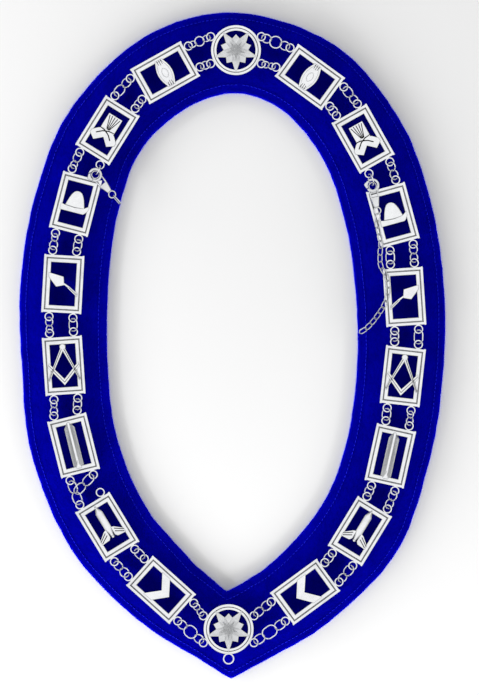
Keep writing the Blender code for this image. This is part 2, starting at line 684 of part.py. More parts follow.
def make_joined_connector(places, collection, finish):
    """Make the joined connector: a second chain runs from the inner eye to the first ring."""
    row = dict(zip(CONNECTOR_COLUMNS, JOINED_OUTER))
    start = eye_point(places, row["from_piece"], row["from_eye"])
    end = eye_point(places, row["to_piece"], row["to_eye"])
    main = chain_rings(start, end, row["rings"])
    middle, direction, radius, _, stretch = main[0]
    inner_eye = eye_point(places, row["from_piece"], "down_inner")
    crossing = middle + direction * (radius + stretch / 2 + RING_FUSE / 2)
    crossing.z = inner_eye.z
    beyond = crossing + (crossing - inner_eye).normalized() * EYE_RADIUS
    branch = chain_rings(inner_eye, beyond, (1, 1), last_pitch=0)
    solids = [ring_solid(*ring) for ring in main + branch]
    add_object(row["name"], join_solids(row["name"], solids), collection, finish)


def clasp_frame(places, row):
    """Give the eyes that the hooked link joins and the middle of the clasp's head below it."""
    start = eye_point(places, row["upper"], "down_inner")
    end = eye_point(places, row["lower"], "up_inner")
    direction = (end - start).normalized()
    head = (start + end) / 2 + direction * CLASP_HEAD_RADIUS
    return start, end, head


def arc_points(radius, first, last):
    """List points along an arc between two angles."""
    steps = max(2, round((last - first) / ARC_STEP))
    angles = [first + (last - first) * step / steps for step in range(steps + 1)]
    return [(radius * math.cos(angle), radius * math.sin(angle)) for angle in angles]


def reach_angle(radius, reach):
    """Give the angle on an arc at which it lies at a reach from the lever's pivot."""
    cosine = (radius ** 2 + CLASP_HEAD_RADIUS ** 2 - reach ** 2) / (2 * radius * CLASP_HEAD_RADIUS)
    return LEVER_PIVOT_ANGLE - math.acos(cosine)


def arc_outline(inner, outer, first, last):
    """Outline an arc band. Its ends give the angles of their inner and outer corners."""
    outside = arc_points(outer, first[1], last[1])
    inside = arc_points(inner, first[0], last[0])
    return outside + inside[::-1]


def clasp_body_mesh():
    """Make the clasp's hook and body in its own frame, tip along +X and tail along -X."""
    inner = CLASP_HEAD_RADIUS - CLASP_ARC_WIDTH / 2
    outer = CLASP_HEAD_RADIUS + CLASP_ARC_WIDTH / 2
    half = CLASP_THICKNESS / 2
    foot = LEVER_PIVOT_ANGLE + (CLASP_ARC_WIDTH / 2 + GAP) / CLASP_HEAD_RADIUS - 2 * math.pi
    tip = [reach_angle(radius, LEVER_REACH + GAP) for radius in (inner, outer)]
    hook = arc_outline(inner, outer, (foot, foot), tip)
    root = -inner - SHANK_OVERLAP
    shank = [(root, CLASP_SHOULDER / 2), (-CLASP_LENGTH, CLASP_TAIL / 2),
             (-CLASP_LENGTH, -CLASP_TAIL / 2), (root, -CLASP_SHOULDER / 2)]
    tail = Matrix.Translation((-CLASP_LENGTH - CLASP_EYE_RADIUS, 0, 0))
    eye = torus_mesh("tail_eye", CLASP_EYE_RADIUS, CLASP_EYE_WIRE, EYE_SEGMENTS, tail, sides=EYE_SIDES)
    return join_solids("clasp", [
        cast_mesh("hook", hook, -half, half, CLASP_BEVEL),
        cast_mesh("shank", shank, SHANK_LOW - half, half + SHANK_RISE, SHANK_BEVEL), eye])


def lever_mesh():
    """Make the clasp's spring lever: the arc that closes the hook, with a thumb tab."""
    inner = CLASP_HEAD_RADIUS - CLASP_ARC_WIDTH / 2
    outer = CLASP_HEAD_RADIUS + CLASP_ARC_WIDTH / 2
    start = [reach_angle(radius, LEVER_REACH) for radius in (inner, outer)]
    outside = arc_points(outer, start[1], LEVER_PIVOT_ANGLE)
    inside = arc_points(inner, start[0], LEVER_PIVOT_ANGLE)
    tab = len(outside) // 2
    swell = 1 + LEVER_TAB / outer
    outside[tab] = (outside[tab][0] * swell, outside[tab][1] * swell)
    pivot = turn(LEVER_PIVOT_ANGLE) * CLASP_HEAD_RADIUS
    foot = [pivot + turn(LEVER_PIVOT_ANGLE + math.pi * step / 4) * (CLASP_ARC_WIDTH / 2)
            for step in (1, 2, 3)]
    outline = outside + [(point.x, point.y) for point in foot] + inside[::-1]
    half = CLASP_THICKNESS / 2
    return cast_mesh("lever", outline, -half, half, CLASP_BEVEL)


def clasp_matrix(head, axis):
    """Stand the clasp at its head, tail pointing along the axis."""
    height = Vector((head.x, head.y, CLASP_HEIGHT))
    return Matrix.Translation(height) @ Matrix.Rotation(axis + math.pi, 4, "Z")


def lever_pivot():
    """Give the lever's pivot in the clasp's frame: the middle of the lever's round foot."""
    return Matrix.Translation(turn(LEVER_PIVOT_ANGLE) * CLASP_HEAD_RADIUS)


def make_clasps(places, collection, finish):
    """Make both clasps, their levers on their pivots and the links that they hook."""
    tails = {}
    for row in rows(CLASP_COLUMNS, CLASPS):
        start, end, head = clasp_frame(places, row)
        stand = clasp_matrix(head, math.radians(row["axis"]))
        add_object("clasp_" + row["side"], clasp_body_mesh(), collection, finish, stand)
        lever = lever_mesh()
        lever.transform(lever_pivot().inverted())
        add_object("clasp_lever_" + row["side"], lever, collection, finish, stand @ lever_pivot())
        hooked = ring_solid(*chain_rings(start, end, (1,), tilt=HOOKED_ROLL)[0])
        add_object("rings_" + row["side"] + "_2_inner", hooked, collection, finish)
        tails[row["side"]] = stand @ Vector((-CLASP_LENGTH - CLASP_EYE_RADIUS, 0, 0))
    return tails


def make_left_safety_chain(tail, collection, finish):
    """Make the left safety chain's end: one long link through the clasp's tail eye."""
    direction = turn(math.radians(CLASPS[0][1]))
    pitch = (CLASP_EYE_WIRE + FINE_WIRE) / 2 + GAP
    middle = tail + direction * (CLASP_EYE_RADIUS - pitch + LAST_LINK_LENGTH / 2)
    end_radius = LAST_LINK_WIDTH / 2
    link = torus_mesh("last_link", end_radius, FINE_WIRE, RING_SEGMENTS,
                      ring_matrix(middle, direction, HOOKED_ROLL),
                      stretch=LAST_LINK_LENGTH - 2 * end_radius)
    add_object("safety_chain_left", link, collection, finish)


def make_right_safety_chain(tail, collection, finish):
    """Make the right safety chain as one tube along its route."""
    lift = GAP + SAFETY_CHAIN_WIDTH / 2
    points = [Vector((tail.x + x * MM, tail.y + y * MM,
                      VELVET_TOP + lift + level * (PLAQUE_TOP - VELVET_TOP)))
              for x, y, level in SAFETY_ROUTE]
    route = smooth_path(points, ROUTE_STEPS)
    curve = bpy.data.curves.new("safety_chain_right", "CURVE")
    curve.dimensions = "3D"
    curve.bevel_depth = SAFETY_CHAIN_WIDTH / 2
    curve.bevel_resolution = 2
    curve.use_fill_caps = True
    spline = curve.splines.new("POLY")
    spline.points.add(len(route) - 1)
    for point, place in zip(spline.points, route):
        point.co = (*place, 1)
    curve.materials.append(finish)
    collection.objects.link(bpy.data.objects.new("safety_chain_right", curve))


def main():
    """Build the collar."""
    clear_scene()
    velvet = make_finish("velvet")
    silver = make_finish("silver")
    collection = new_collection("masonic_chain_collar")
    places = centre_places(raw_places())
    make_velvet(places, collection, velvet)
    make_plaques(places, collection, silver)
    make_medallions(places, collection, silver)
    make_connectors(places, collection, silver)
    make_joined_connector(places, collection, silver)
    tails = make_clasps(places, collection, silver)
    make_left_safety_chain(tails["left"], collection, silver)
    make_right_safety_chain(tails["right"], collection, silver)


main()
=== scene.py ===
"""Looks of a masonic chain collar: blue velvet band, silver plaques, medallions, rings and clasps.

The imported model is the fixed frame. Every piece is built in its metres: the collar lies on its
back, +Y runs to the back of the neck and +Z faces the viewer.
"""
import logging
import math
from dataclasses import dataclass, field
from enum import Enum
from typing import Optional, Sequence, Union

import bmesh
import bpy
from mathutils import Matrix, Vector, noise


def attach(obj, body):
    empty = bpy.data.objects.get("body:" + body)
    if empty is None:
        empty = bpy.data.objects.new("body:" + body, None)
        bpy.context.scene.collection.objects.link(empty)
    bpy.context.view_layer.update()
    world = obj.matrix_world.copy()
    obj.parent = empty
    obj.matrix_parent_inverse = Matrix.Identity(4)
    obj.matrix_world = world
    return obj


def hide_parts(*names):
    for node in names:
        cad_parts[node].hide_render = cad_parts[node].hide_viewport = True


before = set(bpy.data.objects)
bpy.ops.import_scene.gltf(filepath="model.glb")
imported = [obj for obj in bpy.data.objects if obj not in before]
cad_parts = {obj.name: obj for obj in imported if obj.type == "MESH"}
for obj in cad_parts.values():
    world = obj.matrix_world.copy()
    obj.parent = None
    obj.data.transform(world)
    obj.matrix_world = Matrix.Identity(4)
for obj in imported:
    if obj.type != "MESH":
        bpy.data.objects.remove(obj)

MM = 0.001
LOG = logging.getLogger("chain_collar")
Colour = tuple[float, float, float]
Number = Union["Value", float]
Points = Sequence[Vector]
Plan = list[tuple[float, float]]


class Side(Enum):
    """The side of the collar, as the viewer sees it."""

    LEFT = "left"
    RIGHT = "right"


class Laid(Enum):
    """How an emblem's outline is laid in the window."""

    MIRRORED = "its right half is mirrored"
    DRAWN = "as drawn"
    TURNED = "turned over"
    OUTWARDS = "towards the collar's outer edge"


@dataclass(frozen=True)
class Value:
    """A value in a node tree. Its operators add Math nodes."""

    nodes: "Nodes"
    socket: bpy.types.NodeSocket

    def math(self, operation: str, *operands: Number, clamp: bool = False) -> "Value":
        """Add one Math node.

        Args:
            operation: Blender's name of the operation.
            operands: The node's values in order.
            clamp: Whether the result is kept from 0 to 1.

        Returns:
            The node's result.
        """
        settings = {"operation": operation, "use_clamp": clamp}
        return self.nodes.node("ShaderNodeMath", settings, dict(enumerate(operands)))

    def __add__(self, other: Number) -> "Value":
        """Add a number or value."""
        return self.math("ADD", self, other)

    def __radd__(self, other: Number) -> "Value":
        """Add this value to a number."""
        return self.math("ADD", other, self)

    def __sub__(self, other: Number) -> "Value":
        """Subtract a number or value."""
        return self.math("SUBTRACT", self, other)

    def __rsub__(self, other: Number) -> "Value":
        """Subtract this value from a number."""
        return self.math("SUBTRACT", other, self)

    def __mul__(self, other: Number) -> "Value":
        """Multiply by a number or value."""
        return self.math("MULTIPLY", self, other)

    def __rmul__(self, other: Number) -> "Value":
        """Multiply a number by this value."""
        return self.math("MULTIPLY", other, self)

    def __truediv__(self, other: Number) -> "Value":
        """Divide by a number or value."""
        return self.math("DIVIDE", self, other)

    def between(self, low: float, high: float) -> "Value":
        """Map the stretch from low to high onto 0 to 1, and clamp it.

        Args:
            low: What becomes 0.
            high: What becomes 1.

        Returns:
            The clamped share.
        """
        share = (self - low) / (high - low)
        return share.math("ADD", share, 0.0, clamp=True)


class Nodes:
    """The node tree of a material or of the world."""

    def __init__(self, tree: bpy.types.NodeTree) -> None:
        """Take the tree that nodes are added to."""
        self.tree = tree

    def feed(self, socket: bpy.types.NodeSocket, value: object) -> None:
        """Set a socket to a constant, or link a value to it."""
        if isinstance(value, Value):
            self.tree.links.new(value.socket, socket)
        elif isinstance(value, tuple) and socket.type == "RGBA":
            socket.default_value = (*value, 1.0)
        else:
            socket.default_value = value

    def node(self, kind: str, settings: Optional[dict] = None, inputs: Optional[dict] = None,
             output: Union[int, str] = 0) -> Value:
        """Add a node of any type.

        Args:
            kind: The node's type name.
            settings: Its own settings, a ramp's stops among them, which are set first.
            inputs: Values or links by socket name or number.
            output: The socket to give back.

        Returns:
            The chosen output.
        """
        made = self.tree.nodes.new(kind)
        for key, setting in (settings or {}).items():
            setattr(made, key, setting)
        for key, value in (inputs or {}).items():
            self.feed(made.inputs[key], value)
        return Value(self, made.outputs[output])


class Shader(Nodes):
    """A material and the nodes that feed its Principled surface."""

    def __init__(self, name: str) -> None:
        """Make an empty material with the given name."""
        self.material = bpy.data.materials.new(name)
        self.material.use_nodes = True
        super().__init__(self.material.node_tree)
        self.surface = self.tree.nodes["Principled BSDF"]

    def place(self) -> Value:
        """Give the point on the piece, in metres."""
        return self.node("ShaderNodeTexCoord", output="Object")

    def grain(self, where: Value, size: float, detail: float = 2.0, seed: float = 0.0) -> Value:
        """Give soft noise.

        Args:
            where: The point that it is read at.
            size: The size of its grains in metres.
            detail: How many finer layers it has.
            seed: Its shift along a fourth axis.

        Returns:
            Noise from 0 to 1.
        """
        return self.node("ShaderNodeTexNoise", {"noise_dimensions": "4D"},
                         {"Vector": where, "W": seed, "Scale": 1.0 / size, "Detail": detail})

    def mix(self, first: object, second: object, share: Number) -> Value:
        """Mix two colours by a share."""
        return self.node("ShaderNodeMix", {"data_type": "RGBA", "clamp_factor": True},
                         {0: share, 6: first, 7: second}, output=2)

    def bump(self, height: Value, distance: float, strength: float = 1.0) -> Value:
        """Give a normal that follows a height from 0 to 1 over a distance in metres."""
        return self.node("ShaderNodeBump",
                         inputs={"Height": height, "Distance": distance, "Strength": strength})

    def dress(self, **sockets: object) -> bpy.types.Material:
        """Set the surface's sockets by name, with underscores for spaces.

        Args:
            sockets: Constants or values.

        Returns:
            The finished material.
        """
        for name, value in sockets.items():
            self.feed(self.surface.inputs[name.replace("_", " ")], value)
        return self.material


@dataclass(frozen=True)
class VelvetFinish:
    """Royal blue velvet: a short dense pile with brushed patches."""

    name: str = "royal_velvet"
    lit: Colour = (0.0007, 0.0007, 0.437)
    deep: Colour = (0.0004, 0.0004, 0.23)
    sheen_tint: Colour = (0.05, 0.07, 1.0)
    patch_size: float = 16 * MM
    streak_size: float = 3.2 * MM
    pile_size: float = 0.55 * MM
    pile_depth: float = 0.35 * MM

    def material(self) -> bpy.types.Material:
        """Make the material."""
        shader = Shader(self.name)
        where = shader.place()
        patches = shader.grain(where, self.patch_size, 3.0).between(0.34, 0.66)
        streaks = shader.grain(where, self.streak_size, 2.0, 4.0).between(0.3, 0.7)
        pile = shader.grain(where, self.pile_size, 1.0, 9.0)
        shade = patches * 0.38 + streaks * 0.24 + pile * 0.5
        colour = shader.mix(self.deep, self.lit, shade)
        relief = shader.bump(pile * 0.8 + streaks * 0.5, self.pile_depth, 0.7)
        return shader.dress(Base_Color=colour, Roughness=0.78 + 0.16 * pile, Normal=relief,
                            Specular_IOR_Level=0.0, Sheen_Weight=0.12, Sheen_Roughness=0.4,
                            Sheen_Tint=self.sheen_tint)


@dataclass(frozen=True)
class SilverFinish:
    """Bright silver plate with painted shade that darkens its grooves and recesses, faint scratches and a
    cast skin.
    """

    name: str = "silver_plate"
    bright: Colour = (0.93, 0.94, 0.95)
    worn: Colour = (0.72, 0.73, 0.76)
    # The colour of the painted shade in grooves, recesses and next to other parts
    painted_shade_colour: Colour = (0.012, 0.013, 0.022)
    painted_shade_reach: float = 1.3 * MM
    painted_shade_share: float = 0.96
    skin_size: float = 1.1 * MM
    skin_depth: float = 0.09 * MM
    wear_size: float = 7 * MM
    scratch_size: float = 0.35 * MM
    polish: float = 0.13

    def material(self) -> bpy.types.Material:
        """Make the material."""
        shader = Shader(self.name)
        where = shader.place()
        skin = shader.grain(where, self.skin_size, 3.0)
        wear = shader.grain(where, self.wear_size, 2.0, 3.0).between(0.35, 0.7)
        scratches = shader.grain(self.brushed(shader, where), self.scratch_size, 1.0, 6.0)
        # Painted shade: an ambient occlusion mask darkens the colour towards near-black in grooves, recesses
        # and next to other parts
        open_sky = shader.node("ShaderNodeAmbientOcclusion", {"samples": 6, "only_local": False},
                               {"Distance": self.painted_shade_reach}, output="AO")
        painted_groove_shade = (1.0 - open_sky.between(0.34, 0.86)) * self.painted_shade_share
        metal = shader.mix(self.bright, self.worn, wear * 0.5 + skin * 0.3)
        colour = shader.mix(metal, self.painted_shade_colour, painted_groove_shade)
        roughness = self.polish + 0.1 * wear + 0.08 * scratches + 0.25 * painted_groove_shade
        relief = shader.bump(skin * 0.8 + scratches * 0.2, self.skin_depth, 0.55)
        return shader.dress(Base_Color=colour, Metallic=1.0, Roughness=roughness, Normal=relief)

    def brushed(self, shader: Shader, where: Value) -> Value:
        """Draw a point's pattern out along the piece, for scratches."""
        return shader.node("ShaderNodeMapping", inputs={"Vector": where, "Scale": Vector((1.0, 0.12, 1.0))})


@dataclass(frozen=True)
class ThreadFinish:
    """Sewing thread, twisted from three plies."""

    name: str = "blue_thread"
    colour: Colour = (0.005, 0.008, 0.48)
    ply: float = 0.4 * MM
    ply_depth: float = 0.1 * MM

    def material(self) -> bpy.types.Material:
        """Make the material."""
        shader = Shader(self.name)
        twist = shader.grain(shader.place(), self.ply, 1.0)
        pale = tuple(min(1.0, channel * 1.3 + 0.004) for channel in self.colour)
        colour = shader.mix(self.colour, pale, twist.between(0.35, 0.65))
        return shader.dress(Base_Color=colour, Roughness=0.75 + 0.2 * twist, Specular_IOR_Level=0.05,
                            Normal=shader.bump(twist, self.ply_depth, 0.6))


@dataclass(frozen=True)
class LiningFinish:
    """Woven navy lining on the hidden side."""

    name: str = "navy_lining"
    warp: Colour = (0.004, 0.006, 0.10)
    weft: Colour = (0.012, 0.018, 0.20)
    thread_pitch: float = 0.7 * MM
    weave_depth: float = 0.15 * MM
    slub_size: float = 5 * MM

    def material(self) -> bpy.types.Material:
        """Make the material: two crossed sets of threads."""
        shader = Shader(self.name)
        where = shader.place()
        bands = [shader.node("ShaderNodeTexWave", {"bands_direction": axis},
                             {"Vector": where, "Scale": 0.314 / self.thread_pitch, "Distortion": 0.4})
                 for axis in ("X", "Y")]
        weave = bands[0].math("MAXIMUM", bands[0], bands[1])
        slub = shader.grain(where, self.slub_size, 2.0)
        colour = shader.mix(self.warp, self.weft, weave * 0.7 + slub * 0.3)
        return shader.dress(Base_Color=colour, Roughness=0.62 + 0.2 * slub, Specular_IOR_Level=0.25,
                            Normal=shader.bump(weave, self.weave_depth, 0.6))


@dataclass(frozen=True)
class FloorFinish:
    """Plain white table."""

    name: str = "white_table"
    colour: Colour = (0.93, 0.93, 0.93)

    def material(self) -> bpy.types.Material:
        """Make the material."""
        return Shader(self.name).dress(Base_Color=self.colour, Roughness=0.9, Specular_IOR_Level=0.0)


class Bench:
    """Gathers closed shells into one mesh."""

    def __init__(self) -> None:
        """Start an empty mesh."""
        self.bm = bmesh.new()

    def skin(self, loops: Sequence[Points], around: bool = False, caps: bool = False,
             slots: Optional[Sequence[int]] = None) -> list[bmesh.types.BMVert]:
        """Join closed loops of points, each to the next.

        Args:
            loops: The loops, all of one length.
            around: Whether the last loop joins the first.
            caps: Whether the first and last loop are filled.
            slots: The material number of each face across a loop.

        Returns:
            The new corners.
        """
        rings = [[self.bm.verts.new(point) for point in loop] for loop in loops]
        pairs = list(zip(rings, rings[1:])) + ([(rings[-1], rings[0])] if around else [])
        for ring, following in pairs:
            for i in range(len(ring)):
                j = (i + 1) % len(ring)
                face = self.bm.faces.new((ring[i], ring[j], following[j], following[i]))
                face.material_index = slots[i] if slots else 0
        if caps:
            self.bm.faces.new(rings[0][::-1])
            self.bm.faces.new(rings[-1])
        return [corner for ring in rings for corner in ring]

    def tube(self, line: Points, radius: float, sides: int = 8, closed: bool = False) -> None:
        """Run round wire along a line.

        Args:
            line: The wire's centreline.
            radius: The wire's radius in metres.
            sides: The number of sides of its section.
            closed: Whether the line closes on itself.
        """
        count = len(line)
        loops = []
        normal = Vector((0, 0, 1))
        for i, point in enumerate(line):
            before = line[i - 1] if closed or i else point
            after = line[(i + 1) % count] if closed or i < count - 1 else point
            tangent = (after - before).normalized()
            if abs(tangent.dot(normal)) > 0.999:
                normal = tangent.orthogonal()
            normal = (normal - tangent * tangent.dot(normal)).normalized()
            other = tangent.cross(normal)
            angles = [2 * math.pi * side / sides for side in range(sides)]
            loops.append([point + (normal * math.cos(a) + other * math.sin(a)) * radius for a in angles])
        self.skin(loops, around=closed, caps=not closed)

    def relief(self, outline: Plan, profile: Plan) -> None:
        """Raise a flat form with a shaped edge.

        Args:
            outline: Its corners in plan.
            profile: The inset and height of each step from its foot up to its top.
        """
        outline = anticlockwise(outline)
        loops = [[Vector((x, y, height)) for x, y in inset(outline, depth)] for depth, height in profile]
        self.skin(loops, caps=True)

    def roof(self, half: Plan, low: float, eave: float, ridge: float, flat: float) -> None:
        """Raise a symmetric form to a narrow flat ridge along its middle line.

        Args:
            half: Its right half from top to bottom, with both ends on the middle line.
            low: The height of its foot.
            eave: The height of its sides.
            ridge: The height of the ridge.
            flat: Half the ridge's width.
        """
        outline = mirrored(half)
        loops = [[Vector((x, y, low)) for x, y in outline], [Vector((x, y, eave)) for x, y in outline],
                 [Vector((max(-flat, min(flat, x)), y, ridge)) for x, y in outline]]
        self.skin(loops, caps=True)

    def turned(self, profile: Plan, segments: int) -> None:
        """Turn a closed profile of radius and height round the upright axis."""
        loops = []
        for step in range(segments):
            around = plan_direction(2 * math.pi * step / segments)
            loops.append([around * radius + Vector((0, 0, height)) for radius, height in profile])
        self.skin(loops, around=True)

    def mesh(self, name: str, finishes: Sequence[bpy.types.Material], sharp: float = 32.0) -> bpy.types.Mesh:
        """Close the bench and give its mesh, facing out.

        Args:
            name: The mesh's name.
            finishes: Its materials by number.
            sharp: The angle in degrees from which an edge stays sharp.

        Returns:
            The mesh.
        """
        bmesh.ops.recalc_face_normals(self.bm, faces=self.bm.faces)
        made = bpy.data.meshes.new(name)
        self.bm.to_mesh(made)
        self.bm.free()
        for finish in finishes:
            made.materials.append(finish)
        made.shade_smooth()
        made.set_sharp_from_angle(angle=math.radians(sharp))
        return made


def plan_direction(angle: float) -> Vector:
    """Give the plan direction at an angle in radians."""
    return Vector((math.cos(angle), math.sin(angle), 0))


def anticlockwise(outline: Plan) -> Plan:
    """Give an outline's corners in anticlockwise order."""
    area = sum(a[0] * b[1] - b[0] * a[1] for a, b in zip(outline, outline[1:] + outline[:1]))
    return outline if area > 0 else outline[::-1]


def inset(outline: Plan, depth: float) -> Plan:
    """Move every side of an anticlockwise outline inwards.

    Args:
        outline: The corners.
        depth: How far the sides move.

    Returns:
        The new corners, as many as before.
    """
    moved = []
    for i, corner in enumerate(outline):
        here = Vector(corner)
        first = (here - Vector(outline[i - 1])).normalized()
        second = (Vector(outline[(i + 1) % len(outline)]) - here).normalized()
        inward = Vector((-first.y - second.y, first.x + second.x))
        length = inward.length
        mitre = 2 / max(length * length, 0.5)
        moved.append(tuple(here + inward * (depth * mitre)))
    return moved


def rounded(low: float, high: float, radius: float, steps: int = 3) -> Plan:
    """Give a relief's profile with straight sides and a rounded top edge."""
    quarter = [math.pi / 2 * step / steps for step in range(steps + 1)]
    return swollen(low, high, radius, radius, quarter)


def swollen(low: float, high: float, width: float, rise: float, angles: Sequence[float]) -> Plan:
    """Give a relief's profile that swells up to its top.

    Args:
        low: The height of its foot.
        high: The height that the swelling tends to.
        width: How far it reaches inwards.
        rise: How high it is.
        angles: The angle in radians of each step.

    Returns:
        The inset and height of each step.
    """
    return [(0, low)] + [(width * (1 - math.cos(a)), high - rise + rise * math.sin(a)) for a in angles]


def eased(low: float, high: float, under: float, rise: float, edge: float, steps: int = 3) -> Plan:
    """Give a bar's profile, bevelled below and rounded above.

    Args:
        low: The height of its underside.
        high: The height of its top.
        under: The inset of the bevel.
        rise: The height of the bevel.
        edge: The radius of the top edge.
        steps: The steps of the top edge.

    Returns:
        The inset and height of each step.
    """
    return [(under, low), (0, low + rise)] + rounded(0, high, edge, steps)[1:]


def mirrored(half: Plan) -> Plan:
    """Complete an outline from its right half, whose ends lie on the middle line."""
    return half + [(-x, y) for x, y in reversed(half) if x > 0]


def smooth_loop(points: Points, steps: int) -> list[Vector]:
    """Run a closed Catmull-Rom curve through points, with steps on each stretch."""
    curve = []
    count = len(points)
    for index in range(count):
        before, start, end, after = (points[(index + shift) % count] for shift in (-1, 0, 1, 2))
        for step in range(steps):
            t = step / steps
            curve.append(0.5 * (2 * start + (end - before) * t
                                + (2 * before - 5 * start + 4 * end - after) * t ** 2
                                + (3 * start - before - 3 * end + after) * t ** 3))
    return curve


def smooth_path(points: Points, steps: int) -> list[Vector]:
    """Run an open Catmull-Rom curve through points, with steps on each stretch."""
    padded = [2 * points[0] - points[1], *points, 2 * points[-1] - points[-2]]
    return smooth_loop(padded, steps)[steps:steps * (len(padded) - 2) + 1]


def spaced(line: Points, pitch: float) -> list[Vector]:
    """Give points along a line at an even pitch, from its start."""
    found, travelled, wanted = [], 0.0, 0.0
    for start, end in zip(line, line[1:]):
        length = (end - start).length
        while wanted <= travelled + length and length > 0:
            found.append(start.lerp(end, (wanted - travelled) / length))
            wanted += pitch
        travelled += length
    return found


def linked(name: str, data: Optional[bpy.types.ID]) -> bpy.types.Object:
    """Make an object from its data and link it to the scene."""
    made = bpy.data.objects.new(name, data)
    bpy.context.scene.collection.objects.link(made)
    return made


def add_piece(name: str, mesh: bpy.types.Mesh, body: str, nodes: Sequence[str] = (),
              stand: Optional[Matrix] = None) -> bpy.types.Object:
    """Put a piece in the scene, on its body.

    Args:
        name: The piece's name.
        mesh: Its mesh.
        body: The body that it rides on.
        nodes: The solids that it stands for.
        stand: Its place.

    Returns:
        The piece.
    """
    piece = linked(name, mesh)
    if stand is not None:
        piece.matrix_world = stand
    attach(piece, body)
    if nodes:
        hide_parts(*nodes)
    return piece


@dataclass(frozen=True)
class Station:
    """One station of the loop: shares of half the spread and drop, heading in degrees, and the
    band's edges as shares of its width."""

    name: str
    x: float
    y: float
    heading: float
    out: float
    inn: float


STATIONS = [
    Station("medallion_top", 0.020, 1.003, 180.0, 0.450, 0.511),
    Station("plaque_left_1", -0.394, 0.925, 29.2, 0.495, 0.490),
    Station("plaque_left_2", -0.731, 0.726, 58.1, 0.508, 0.462),
    Station("plaque_left_3", -0.918, 0.472, 75.5, 0.492, 0.514),
    Station("plaque_left_4", -0.992, 0.195, 86.8, 0.506, 0.540),
    Station("plaque_left_5", -0.987, -0.087, 93.8, 0.500, 0.525),
    Station("plaque_left_6", -0.929, -0.362, 104.1, 0.514, 0.520),
    Station("plaque_left_7", -0.732, -0.644, 121.3, 0.508, 0.514),
    Station("plaque_left_8", -0.418, -0.861, 138.1, 0.455, 0.502),
    Station("band_left", -0.155, -0.964, 174.6, 0.500, 0.500),
    Station("medallion_bottom", -0.023, -0.997, 183.0, 0.590, 0.450),
    Station("band_right", 0.140, -0.966, 8.9, 0.500, 0.500),
    Station("plaque_right_8", 0.424, -0.868, 36.2, 0.460, 0.523),
    Station("plaque_right_7", 0.744, -0.658, 58.6, 0.508, 0.543),
    Station("plaque_right_6", 0.922, -0.398, 77.5, 0.470, 0.542),
    Station("plaque_right_5", 0.995, -0.123, 83.6, 0.478, 0.550),
    Station("plaque_right_4", 1.005, 0.151, 93.7, 0.478, 0.575),
    Station("plaque_right_3", 0.937, 0.433, 105.2, 0.480, 0.570),
    Station("plaque_right_2", 0.763, 0.697, 119.3, 0.495, 0.534),
    Station("plaque_right_1", 0.452, 0.910, 144.0, 0.484, 0.511),
]


@dataclass
class Place:
    """A piece's place in plan: its middle, heading, and the turn to its outer side."""

    middle: Vector
    heading: float
    outward_turn: float

    def direction(self, extra: float = 0.0) -> Vector:
        """Give the way that the piece's top points, turned by an extra angle."""
        return plan_direction(self.heading + extra)

    def outer_sign(self) -> int:
        """Give 1 where the piece's right side is the outer one, else -1."""
        return 1 if self.outward_turn < 0 else -1

    def point(self, across: float, along: float, height: float) -> Vector:
        """Give the world point at a distance across and along the piece."""
        right = self.direction(-math.pi / 2)
        return self.middle + right * across + self.direction() * along + Vector((0, 0, height))

    def stand(self, height: float) -> Matrix:
        """Give the piece's world matrix at a height."""
        spin = Matrix.Rotation(self.heading - math.pi / 2, 4, "Z")
        return Matrix.Translation(self.middle + Vector((0, 0, height))) @ spin


@dataclass
class Layout:
    """The chain's line and the band's edges."""

    spread: float = 260 * MM
    drop: float = 440 * MM
    band_width: float = 64 * MM
    coarse_steps: int = 3
    places: dict[str, Place] = field(init=False)

    def __post_init__(self) -> None:
        """Place every station and centre the band's outline on the origin."""
        self.places = {}
        for row in STATIONS:
            middle = Vector((row.x * self.spread / 2, row.y * self.drop / 2, 0))
            left = "left" in row.name or row.name == "medallion_bottom"
            turn = math.pi / 2 if left else -math.pi / 2
            self.places[row.name] = Place(middle, math.radians(row.heading), turn)
        outline = self.edge(1, self.coarse_steps)
        centre = Vector([(min(p[i] for p in outline) + max(p[i] for p in outline)) / 2 for i in range(3)])
        for place in self.places.values():
            place.middle = place.middle - centre

    def edge(self, sign: int, steps: int) -> list[Vector]:
        """Give one edge of the band.

        Args:
            sign: 1 for the outer edge, -1 for the inner one.
            steps: The points on each stretch between two stations.

        Returns:
            The edge as a smooth closed loop.
        """
        ends = []
        for row in STATIONS:
            place = self.places[row.name]
            share = row.out if sign > 0 else row.inn
            ends.append(place.middle + place.direction(place.outward_turn) * (sign * share * self.band_width))
        return smooth_loop(ends, steps)


